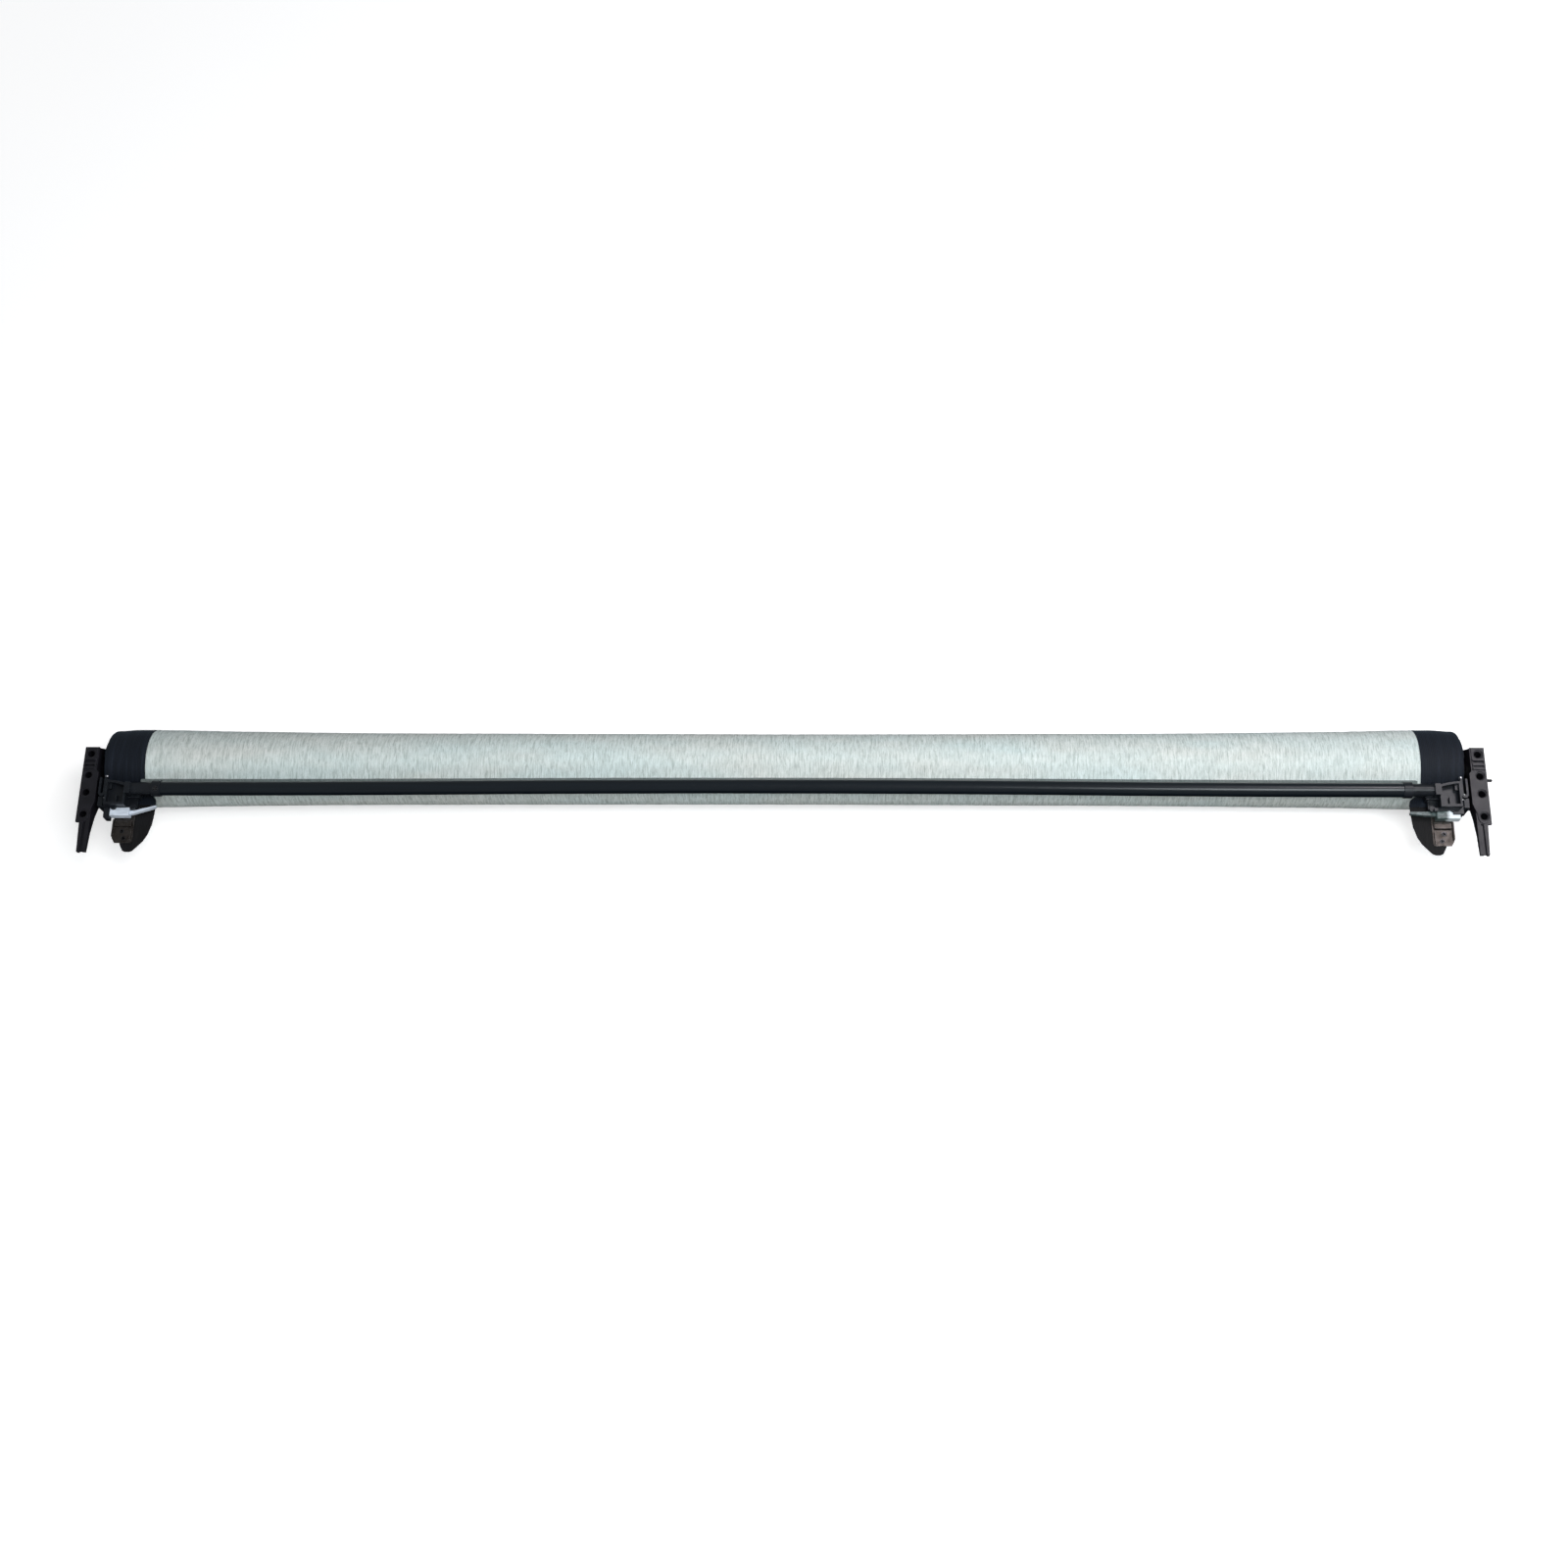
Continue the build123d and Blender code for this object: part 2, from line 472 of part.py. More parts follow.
sections = [
    make_face(Polyline(*[(x, y, z) for y, z in thick_line(welt_line(x), 0.8)], close=True))
    for x in (-429.5, -400, -330, -215, 0, 215, 330, 400, 429.5)
]
welt = loft(sections, ruled=True)
lip = Rot(WELT_TILT, 0, 0) * box(-446.2, -429.0, -1.3, 1.3, 29.8, 30.6)
welt += lip
welt += Rot(WELT_TILT, 0, 0) * box(429.0, 441.0, -1.3, 1.3, 29.8, 30.6)
made["curtain_hem_welt"] = welt

# ---------------- what joins the bar to its carriages ----------------
made["bar_collar_right"] = ring_x(430.1, 435.9, 5.7, BAR_R, BAR_Y, BAR_Z)
collar = left(made["bar_collar_right"])


def tilted(shape):
    """Turned a little about the bar's axis, towards the front."""
    return Pos(0, BAR_Y, BAR_Z) * Rot(20, 0, 0) * Pos(0, -BAR_Y, -BAR_Z) * shape


SCREW_X = -432.6
hole = tilted(cyl_z(BAR_Z + 2.4, BAR_Z + 12, 0.95, SCREW_X, BAR_Y))
seat = tilted(cyl_z(BAR_Z + 5.4, BAR_Z + 12, 1.75, SCREW_X, BAR_Y))
screw = cyl_z(BAR_Z + 2.4, BAR_Z + 5.4, 0.95, SCREW_X, BAR_Y) + cyl_z(BAR_Z + 5.4, BAR_Z + 6.1, 1.7, SCREW_X, BAR_Y)
screw -= box(SCREW_X - 2, SCREW_X + 2, BAR_Y - 0.2, BAR_Y + 0.2, BAR_Z + 5.8, BAR_Z + 7)
screw -= box(SCREW_X - 0.2, SCREW_X + 0.2, BAR_Y - 2, BAR_Y + 2, BAR_Z + 5.8, BAR_Z + 7)
made["bar_screw_left"] = tilted(screw)
made["bar_collar_left"] = collar - hole - seat
made["pull_bar_tube"] -= hole
made["carriage_left"] = left_car - hole

os.makedirs("parts", exist_ok=True)
for name, shape in made.items():
    placed = Pos(0, AXIS_Y, AXIS_Z) * shape
    solids = placed.solids()
    out = solids[0] if len(solids) == 1 else Compound(children=list(solids))
    export_step(out, f"parts/{name}.step")
print(len(made), "nodes")
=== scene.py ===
import bpy, bmesh, math, json, random
import numpy as np
from mathutils import Matrix, Vector

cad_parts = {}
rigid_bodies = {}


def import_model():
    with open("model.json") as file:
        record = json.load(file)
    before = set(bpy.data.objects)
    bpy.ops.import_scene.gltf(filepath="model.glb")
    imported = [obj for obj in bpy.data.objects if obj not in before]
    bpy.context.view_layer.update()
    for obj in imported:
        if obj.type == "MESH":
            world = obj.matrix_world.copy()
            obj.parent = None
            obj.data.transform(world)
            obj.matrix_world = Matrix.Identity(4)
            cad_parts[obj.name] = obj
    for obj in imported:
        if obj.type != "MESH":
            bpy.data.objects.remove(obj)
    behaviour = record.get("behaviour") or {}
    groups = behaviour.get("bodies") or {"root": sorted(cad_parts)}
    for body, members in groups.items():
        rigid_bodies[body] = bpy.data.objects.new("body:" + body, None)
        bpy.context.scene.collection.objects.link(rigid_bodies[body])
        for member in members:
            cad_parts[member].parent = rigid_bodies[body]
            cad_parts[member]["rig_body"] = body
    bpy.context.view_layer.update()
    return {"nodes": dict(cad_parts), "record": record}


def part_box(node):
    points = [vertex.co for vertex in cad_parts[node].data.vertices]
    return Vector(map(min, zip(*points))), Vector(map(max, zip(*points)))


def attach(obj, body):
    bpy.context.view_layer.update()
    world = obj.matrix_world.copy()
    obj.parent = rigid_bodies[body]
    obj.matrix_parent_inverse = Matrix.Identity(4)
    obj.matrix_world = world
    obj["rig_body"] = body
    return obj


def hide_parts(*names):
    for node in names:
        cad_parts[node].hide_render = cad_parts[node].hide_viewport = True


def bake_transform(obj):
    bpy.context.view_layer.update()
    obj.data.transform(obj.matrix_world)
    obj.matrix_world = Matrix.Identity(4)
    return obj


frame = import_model()
NODES = frame["nodes"]
MM = 0.001

# ------------------------------------------------------------------ places, from the frame
roll_lo, roll_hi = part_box("curtain_roll")
AY = (roll_lo.y + roll_hi.y) / 2 / MM          # winding axis, mm
AZ = (roll_lo.z + roll_hi.z) / 2 / MM
FH = roll_hi.x / MM                             # half width of the light curtain
tape_lo, tape_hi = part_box("tape_roll_right")
TAPE_X1 = tape_hi.x / MM                        # outer edge of the side tape
TUBE_R = (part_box("roll_tube")[1].z / MM) - AZ
bar_lo, bar_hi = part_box("pull_bar_tube")
BAR_R = (bar_hi.z - bar_lo.z) / 2 / MM
BAR_Z = (bar_hi.z + bar_lo.z) / 2 / MM - AZ
BAR_Y = bar_lo.y / MM + BAR_R - AY              # at its ends
BAR_BOW = (bar_hi.y - bar_lo.y) / MM - 2 * BAR_R
BAR_X0, BAR_X1 = bar_lo.x / MM, bar_hi.x / MM
BOW_HALF = 430.0

# wound radius of the curtain, the middle hollow and the edges full, as its CAD solid is
WX = [0, 140, 278, 347, 400, 430, FH]
WR = [25.4, 25.7, 26.15, 26.8, 27.5, 28.15, 28.3]


def smooth(t):
    t = np.clip(t, 0, 1)
    return t * t * (3 - 2 * t)


def pchip_like(x):
    """Wound radius at |x|, through the stations with rounded slopes."""
    x = np.abs(np.asarray(x, float))
    xs = np.array(WX, float)
    ys = np.array(WR, float)
    m = np.gradient(ys, xs)
    m[0] = 0
    i = np.clip(np.searchsorted(xs, x, side="right") - 1, 0, len(xs) - 2)
    h = xs[i + 1] - xs[i]
    t = np.clip((x - xs[i]) / h, 0, 1)
    a = (1 + 2 * t) * (1 - t) ** 2
    b = t * (1 - t) ** 2
    c = t * t * (3 - 2 * t)
    d = t * t * (t - 1)
    return a * ys[i] + b * h * m[i] + c * ys[i + 1] + d * h * m[i + 1]


def bow(x):
    x = np.abs(np.asarray(x, float))
    q = BOW_HALF / 2
    th = 2 * math.atan(BAR_BOW / 2 / q)
    r = q / math.sin(th)
    inner = BAR_BOW - (r - np.sqrt(np.maximum(r * r - x * x, 0)))
    outer = r - np.sqrt(np.maximum(r * r - (BOW_HALF - x) ** 2, 0))
    return np.where(x >= BOW_HALF, 0.0, np.where(x >= q, outer, inner))


# ------------------------------------------------------------------ seeded value noise, for real relief
_rng = np.random.RandomState(11)
_tab = _rng.rand(256, 256)


def vnoise(u, v, seed=0):
    """Smooth noise in -1..1 over two coordinates."""
    u = np.asarray(u, float) + 17.3 * seed
    v = np.asarray(v, float) + 9.1 * seed
    iu, iv = np.floor(u).astype(int), np.floor(v).astype(int)
    fu, fv = u - iu, v - iv
    fu, fv = fu * fu * (3 - 2 * fu), fv * fv * (3 - 2 * fv)
    t = _tab
    a = t[iu % 256, iv % 256] * (1 - fu) + t[(iu + 1) % 256, iv % 256] * fu
    b = t[iu % 256, (iv + 1) % 256] * (1 - fu) + t[(iu + 1) % 256, (iv + 1) % 256] * fu
    return (a * (1 - fv) + b * fv) * 2 - 1


def crepe(x, s):
    """Relief of the crinkled curtain in mm: short irregular ridges that run round the roll."""
    warp = 1.6 * vnoise(x / 9.0, s / 14.0, 3)
    a = vnoise((x + warp) / 1.55, s / 8.5, 1)
    b = vnoise((x - warp) / 2.7, s / 13.0, 2)
    c = vnoise(x / 45.0, s / 60.0, 4)
    return 0.075 * a + 0.07 * b + 0.10 * c


# ------------------------------------------------------------------ mesh helpers
def new_object(name, verts, faces, uv=None, smooth_shade=True):
    me = bpy.data.meshes.new(name)
    me.from_pydata([tuple(v) for v in verts], [], faces)
    if uv is not None:
        layer = me.uv_layers.new(name="cloth")
        idx = np.empty(len(me.loops), np.int32)
        me.loops.foreach_get("vertex_index", idx)
        layer.data.foreach_set("uv", np.asarray(uv, np.float32)[idx].ravel())
    me.validate()
    if smooth_shade:
        me.polygons.foreach_set("use_smooth", [True] * len(me.polygons))
    me.update()
    ob = bpy.data.objects.new(name, me)
    bpy.context.scene.collection.objects.link(ob)
    return ob


def crisp(ob, degrees=40):
    """Edges sharper than this stay sharp in the shading."""
    bm = bmesh.new()
    bm.from_mesh(ob.data)
    bmesh.ops.recalc_face_normals(bm, faces=bm.faces)
    for e in bm.edges:
        if len(e.link_faces) == 2 and e.calc_face_angle(0.0) > math.radians(degrees):
            e.smooth = False
    bm.to_mesh(ob.data)
    bm.free()


class Builder:
    """Collects grids into one mesh; it also keeps a cloth coordinate in metres at each point, which make() leaves off
    the mesh.
    """

    def __init__(self):
        self.v, self.f, self.uv, self.n = [], [], [], 0

    def grid(self, P, U, V, flip=False, close_rows=False):
        """P is rows x cols x 3 in mm about the winding axis."""
        R, C = P.shape[:2]
        base = self.n
        Q = P.reshape(-1, 3) * MM + np.array([0, AY * MM, AZ * MM])
        self.v.append(Q)
        self.uv.append(np.stack([U.ravel() * MM, V.ravel() * MM], 1))
        self.n += R * C
        r, c = np.meshgrid(np.arange(R - 1), np.arange(C - 1), indexing="ij")
        a = base + r * C + c
        quad = np.stack([a, a + 1, a + C + 1, a + C], -1).reshape(-1, 4)
        if flip:
            quad = quad[:, ::-1]
        self.f.append(quad)
        return base

    def closed_sheet(self, P, N, T, U, V):
        """A sheet of thickness T whose outer face is P with outward normals N."""
        R, C = P.shape[:2]
        T = np.asarray(T)
        top = self.grid(P, U, V)
        low = self.grid(P - N * (T[..., None] if T.ndim else T), U, V, flip=True)
        ring = []
        for c in range(C - 1):
            ring.append((top + c, low + c, low + c + 1, top + c + 1))
        o = (R - 1) * C
        for c in range(C - 1):
            ring.append((top + o + c + 1, low + o + c + 1, low + o + c, top + o + c))
        for r in range(R - 1):
            ring.append((top + (r + 1) * C, low + (r + 1) * C, low + r * C, top + r * C))
            e = C - 1
            ring.append((top + r * C + e, low + r * C + e, low + (r + 1) * C + e, top + (r + 1) * C + e))
        self.f.append(np.array(ring))

    def make(self, name):
        faces = [tuple(int(i) for i in q) for block in self.f for q in block]
        ob = new_object(name, np.concatenate(self.v), faces)
        crisp(ob)
        return ob


def normals(P):
    """Outward normals of a grid of points, rows running round or along, columns along X."""
    du = np.gradient(P, axis=1)
    dv = np.gradient(P, axis=0)
    n = np.cross(du, dv)
    n /= np.maximum(np.linalg.norm(n, axis=2, keepdims=True), 1e-9)
    return n


def away(N, P):
    """N turned so that it points away from the winding axis."""
    rad = P * np.array([0, 1, 1])
    s = np.sign((N * rad).sum(2, keepdims=True))
    s[s == 0] = 1
    return N * s


# ------------------------------------------------------------------ node-tree helpers
def material(name):
    m = bpy.data.materials.new(name)
    m.use_nodes = True
    nt = m.node_tree
    for n in list(nt.nodes):
        nt.nodes.remove(n)
    out = nt.nodes.new("ShaderNodeOutputMaterial")
    b = nt.nodes.new("ShaderNodeBsdfPrincipled")
    nt.links.new(b.outputs[0], out.inputs[0])
    return m, nt, b


def node(nt, kind, **kw):
    n = nt.nodes.new(kind)
    for k, v in kw.items():
        if k in n.inputs:
            n.inputs[k].default_value = v
        else:
            setattr(n, k, v)
    return n


def math_node(nt, op, a, b=0.5, clamp=False):
    n = nt.nodes.new("ShaderNodeMath")
    n.operation = op
    n.use_clamp = clamp
    for i, v in enumerate((a, b)):
        if isinstance(v, (int, float)):
            n.inputs[i].default_value = v
        else:
            nt.links.new(v, n.inputs[i])
    return n.outputs[0]


def mix_colour(nt, fac, a, b):
    n = nt.nodes.new("ShaderNodeMix")
    n.data_type = "RGBA"
    n.clamp_factor = True
    for sock, v in ((n.inputs[0], fac), (n.inputs[6], a), (n.inputs[7], b)):
        if isinstance(v, (int, float)):
            sock.default_value = v
        elif isinstance(v, (tuple, list)):
            sock.default_value = (*v[:3], 1)
        else:
            nt.links.new(v, sock)
    return n.outputs[2]


def ramp(nt, fac, stops):
    n = nt.nodes.new("ShaderNodeValToRGB")
    el = n.color_ramp.elements
    while len(el) < len(stops):
        el.new(0.5)
    for e, (p, c) in zip(el, stops):
        e.position = p
        e.color = (*(c if isinstance(c, (tuple, list)) else (c, c, c)), 1)
    nt.links.new(fac, n.inputs[0])
    return n.outputs[0]


def coords(nt, source, scale, rotation=(0, 0, 0)):
    tc = nt.nodes.new("ShaderNodeTexCoord")
    mp = nt.nodes.new("ShaderNodeMapping")
    mp.inputs["Scale"].default_value = scale
    mp.inputs["Rotation"].default_value = rotation
    nt.links.new(tc.outputs[source], mp.inputs["Vector"])
    return mp.outputs[0]


def noise(nt, vec, scale=1.0, detail=2.0, rough=0.5, distort=0.0):
    n = nt.nodes.new("ShaderNodeTexNoise")
    n.inputs["Scale"].default_value = scale
    n.inputs["Detail"].default_value = detail
    n.inputs["Roughness"].default_value = rough
    n.inputs["Distortion"].default_value = distort
    nt.links.new(vec, n.inputs["Vector"])
    return n.outputs[0]


def bump(nt, height, strength, distance, normal=None):
    n = nt.nodes.new("ShaderNodeBump")
    n.inputs["Strength"].default_value = strength
    n.inputs["Distance"].default_value = distance
    nt.links.new(height, n.inputs["Height"])
    if normal is not None:
        nt.links.new(normal, n.inputs["Normal"])
    return n.outputs[0]


def edge_mask(nt, radius):
    """1 where an edge is within radius, for wear."""
    bv = nt.nodes.new("ShaderNodeBevel")
    bv.samples = 4
    bv.inputs["Radius"].default_value = radius
    geo = nt.nodes.new("ShaderNodeNewGeometry")
    dot = nt.nodes.new("ShaderNodeVectorMath")
    dot.operation = "DOT_PRODUCT"
    nt.links.new(bv.outputs[0], dot.inputs[0])
    nt.links.new(geo.outputs["Normal"], dot.inputs[1])
    m = math_node(nt, "SUBTRACT", 1.0, dot.outputs["Value"])
    return math_node(nt, "MULTIPLY", m, 7.0, clamp=True)


# ------------------------------------------------------------------ materials
def curtain_material(name, unshaded_share=1.0):
    """Light grey crepe: a fine irregular plain weave under crinkles that run round the roll."""
    m, nt, b = material(name)
    L = nt.links.new
    streak = noise(nt, coords(nt, "Object", (760, 165, 165)), 1.0, 3.0, 0.60, 0.6)
    rib = noise(nt, coords(nt, "Object", (1150, 75, 75)), 1.0, 1.0, 0.5, 0.25)
    fine = noise(nt, coords(nt, "Object", (2100, 1300, 1300)), 1.0, 2.0, 0.6)
    broad = noise(nt, coords(nt, "Object", (7, 26, 26)), 1.0, 3.0, 0.6)
    sep = nt.nodes.new("ShaderNodeSeparateXYZ")
    L(coords(nt, "Object", (1, 1, 1)), sep.inputs[0])
    warp = math_node(nt, "SINE", math_node(nt, "MULTIPLY", sep.outputs[0], 2 * math.pi / 0.00062))
    weft = math_node(nt, "SINE", math_node(nt, "MULTIPLY", sep.outputs[1], 2 * math.pi / 0.00070))
    weave = math_node(nt, "MULTIPLY", warp, weft)
    crinkle = math_node(nt, "ADD", math_node(nt, "MULTIPLY", streak, 0.62), math_node(nt, "MULTIPLY", rib, 0.38))
    cr = ramp(nt, crinkle, [(0.34, (0.47, 0.53, 0.515)), (0.46, (0.64, 0.705, 0.69)), (0.56, (0.755, 0.82, 0.81)), (0.68, (0.84, 0.90, 0.90))])
    tone = mix_colour(nt, ramp(nt, broad, [(0.36, 0.0), (0.64, 1.0)]), (1.0, 0.975, 0.95), (0.94, 1.0, 1.0))
    mul = nt.nodes.new("ShaderNodeMix")
    mul.data_type = "RGBA"
    mul.blend_type = "MULTIPLY"
    mul.inputs[0].default_value = 1.0
    L(cr, mul.inputs[6])
    L(tone, mul.inputs[7])
    dark = mix_colour(nt, ramp(nt, fine, [(0.34, 0.18), (0.54, 0.0)]), mul.outputs[2], (0.26, 0.31, 0.31))
    # below 1, the fabric colour is mixed toward dark teal: painted shade, used for the welt behind the bar
    if unshaded_share < 1:
        dark = mix_colour(nt, 1 - unshaded_share, dark, (0.045, 0.065, 0.068))
    L(dark, b.inputs["Base Color"])
    b.inputs["Roughness"].default_value = 0.85
    b.inputs["Sheen Weight"].default_value = 0.10
    b.inputs["Sheen Roughness"].default_value = 0.4
    b.inputs["Specular IOR Level"].default_value = 0.25
    h = math_node(nt, "ADD", math_node(nt, "MULTIPLY", crinkle, 1.3), math_node(nt, "MULTIPLY", weave, 0.05))
    h = math_node(nt, "ADD", h, math_node(nt, "MULTIPLY", fine, 0.25))
    L(bump(nt, h, 0.9, 0.0004), b.inputs["Normal"])
    return m


def tape_material(name, source, tint=(0.0040, 0.0062, 0.0110)):
    """Black ribbed webbing: close ribs round the roll, each a twisted yarn."""
    m, nt, b = material(name)
    L = nt.links.new
    v = coords(nt, source, (1, 1, 1))
    sep = nt.nodes.new("ShaderNodeSeparateXYZ")
    L(v, sep.inputs[0])
    wob = noise(nt, coords(nt, source, (120, 30, 30)), 1.0, 2.0)
    x = math_node(nt, "ADD", sep.outputs[0], math_node(nt, "MULTIPLY", wob, 0.00022))
    rib = math_node(nt, "SINE", math_node(nt, "MULTIPLY", x, 2 * math.pi / 0.00115))
    yarn = math_node(nt, "SINE", math_node(nt, "ADD", math_node(nt, "MULTIPLY", sep.outputs[1], 2 * math.pi / 0.0009),
                                           math_node(nt, "MULTIPLY", x, 2 * math.pi / 0.0018)))
    streak = noise(nt, coords(nt, source, (420, 26, 26)), 1.0, 3.0, 0.65)
    lint = noise(nt, coords(nt, source, (1900, 1500, 1500)), 1.0, 2.0)
    t = tint
    base = ramp(nt, streak, [(0.32, tuple(c * 0.65 for c in t)), (0.52, t), (0.72, tuple(c * 2.3 + 0.004 for c in t))])
    base = mix_colour(nt, ramp(nt, lint, [(0.62, 0.0), (0.78, 0.35)]), base, tuple(c * 4 + 0.01 for c in t))
    base = mix_colour(nt, math_node(nt, "MULTIPLY", math_node(nt, "ADD", rib, 1.0), 0.22), base, tuple(c * 2.6 for c in t))
    L(base, b.inputs["Base Color"])
    b.inputs["Roughness"].default_value = 0.66
    b.inputs["Sheen Weight"].default_value = 0.10
    b.inputs["Sheen Roughness"].default_value = 0.45
    b.inputs["Sheen Tint"].default_value = (0.55, 0.72, 0.90, 1)
    b.inputs["Specular IOR Level"].default_value = 0.40
    h = math_node(nt, "ADD", math_node(nt, "MULTIPLY", rib, 0.5), math_node(nt, "MULTIPLY", yarn, 0.18))
    h = math_node(nt, "ADD", h, math_node(nt, "MULTIPLY", streak, 0.6))
    L(bump(nt, h, 0.55, 0.00020), b.inputs["Normal"])
    return m


def moulded(name, colour, rough, grain=0.5, wear=(0.16, 0.17, 0.19), wear_amount=0.55, sheen=0.0, radius=0.00035, tint2=None, spec=0.5):
    """Moulded plastic: fine spark-eroded grain, faint flow marks, polished or whitened edges."""
    m, nt, b = material(name)
    L = nt.links.new
    big = noise(nt, coords(nt, "Object", (70, 160, 160)), 1.0, 3.0, 0.6, 0.6)
    fine = noise(nt, coords(nt, "Object", (2600, 2600, 2600)), 1.0, 2.0, 0.6)
    c1 = tuple(c * 0.72 for c in colour)
    c2 = tint2 or tuple(c * 1.35 for c in colour)
    base = ramp(nt, big, [(0.30, c1), (0.50, colour), (0.72, c2)])
    base = mix_colour(nt, ramp(nt, fine, [(0.60, 0.0), (0.80, 0.25)]), base, tuple(min(1, c * 2.0 + 0.01) for c in colour))
    if wear_amount:
        e = edge_mask(nt, radius)
        e = math_node(nt, "MULTIPLY", e, ramp(nt, noise(nt, coords(nt, "Object", (380, 380, 380)), 1.0, 2.0), [(0.35, 0.25), (0.65, 1.0)]))
        base = mix_colour(nt, math_node(nt, "MULTIPLY", e, wear_amount), base, wear)
    L(base, b.inputs["Base Color"])
    r = math_node(nt, "ADD", math_node(nt, "MULTIPLY", big, 0.22), rough - 0.11)
    L(r, b.inputs["Roughness"])
    b.inputs["Specular IOR Level"].default_value = spec
    if sheen:
        b.inputs["Coat Weight"].default_value = sheen
        b.inputs["Coat Roughness"].default_value = 0.18
    L(bump(nt, math_node(nt, "ADD", fine, math_node(nt, "MULTIPLY", big, 0.25)), grain, 0.00005), b.inputs["Normal"])
    return m


def metal(name, colour, rough, brush=(60, 2600, 2600), stain=None, strength=0.35, metallic=1.0, wear=None):
    m, nt, b = material(name)
    L = nt.links.new
    br = noise(nt, coords(nt, "Object", brush), 1.0, 3.0, 0.6)
    blot = noise(nt, coords(nt, "Object", (260, 260, 260)), 1.0, 4.0, 0.6, 0.4)
    base = mix_colour(nt, br, tuple(c * 0.82 for c in colour), tuple(min(1, c * 1.15) for c in colour))
    if stain:
        base = mix_colour(nt, ramp(nt, blot, [(0.36, 0.0), (0.66, 0.85)]), base, stain)
    if wear:
        base = mix_colour(nt, math_node(nt, "MULTIPLY", edge_mask(nt, 0.00025), 0.8), base, wear)
    L(base, b.inputs["Base Color"])
    b.inputs["Metallic"].default_value = metallic
    L(math_node(nt, "ADD", math_node(nt, "MULTIPLY", blot, 0.25), rough - 0.12), b.inputs["Roughness"])
    L(bump(nt, math_node(nt, "ADD", br, math_node(nt, "MULTIPLY", blot, 0.8)), strength, 0.00004), b.inputs["Normal"])
    return m


def bar_material():
    """Gloss black stoved paint on drawn tube: a deep coat with slight orange peel and faint dust."""
    m, nt, b = material("pull_bar_gloss_black")
    L = nt.links.new
    peel = noise(nt, coords(nt, "Object", (260, 420, 420)), 1.0, 2.0, 0.5)
    dust = noise(nt, coords(nt, "Object", (1400, 1400, 1400)), 1.0, 2.0, 0.6)
    draw = noise(nt, coords(nt, "Object", (12, 900, 900)), 1.0, 2.0, 0.5)
    base = mix_colour(nt, ramp(nt, draw, [(0.3, 0.0), (0.75, 1.0)]), (0.0018, 0.0045, 0.0075), (0.0038, 0.0080, 0.0125))
    base = mix_colour(nt, ramp(nt, dust, [(0.70, 0.0), (0.82, 0.30)]), base, (0.09, 0.10, 0.11))
    L(base, b.inputs["Base Color"])
    L(math_node(nt, "ADD", math_node(nt, "MULTIPLY", dust, 0.10), 0.25), b.inputs["Roughness"])
    b.inputs["Coat Weight"].default_value = 0.35
    b.inputs["Coat Roughness"].default_value = 0.22
    b.inputs["Specular IOR Level"].default_value = 0.5
    L(bump(nt, peel, 0.25, 0.00005), b.inputs["Normal"])
    return m


M_CURTAIN = curtain_material("curtain_crepe")
# the welt's fabric, mostly dark teal: painted shade for the dim band behind the bar
M_WELT_PAINTED_SHADE = curtain_material("curtain_crepe_painted_shade", 0.24)
M_TAPE = tape_material("side_tape_webbing", "Object")
M_TONGUE = tape_material("tape_end_webbing", "Object", (0.0032, 0.0030, 0.0033))
M_BAR = bar_material()
M_BRACKET = moulded("bracket_glass_filled_nylon", (0.0095, 0.0092, 0.0125), 0.40, 0.6, (0.085, 0.082, 0.105), 0.55)
M_CARRIAGE = moulded("carriage_nylon", (0.0075, 0.0095, 0.013), 0.38, 0.45, (0.075, 0.092, 0.11), 0.6)
M_WHITE = moulded("glide_acetal", (0.66, 0.74, 0.84), 0.34, 0.25, (0.93, 0.95, 0.97), 0.3, 0.15, spec=0.55)
M_BUSH = moulded("bush_acetal", (0.62, 0.60, 0.55), 0.42, 0.25, (0.75, 0.73, 0.68), 0.3)
M_RUBBER = moulded("buffer_rubber", (0.010, 0.010, 0.011), 0.75, 0.9, (0.03, 0.03, 0.03), 0.2, spec=0.3)
M_CLIP = metal("clip_phosphated_steel", (0.095, 0.084, 0.077), 0.40, (900, 70, 900), (0.045, 0.038, 0.032), 0.5, 0.85, (0.50, 0.48, 0.46))
M_PLATED = metal("zinc_plated_steel", (0.60, 0.61, 0.63), 0.30, (900, 900, 120), None, 0.25, 1.0)
M_SPRING = metal("spring_steel", (0.20, 0.20, 0.21), 0.35)
M_ALU = metal("extruded_aluminium", (0.72, 0.73, 0.75), 0.32, (14, 2400, 2400), None, 0.3)
M_FLOCK = tape_material("flocked_sleeve", "Object", (0.02, 0.02, 0.022))

M_OXIDE = metal("black_oxide_steel", (0.050, 0.050, 0.055), 0.38, (900, 900, 160), (0.02, 0.02, 0.02), 0.3, 0.9, (0.30, 0.30, 0.31))


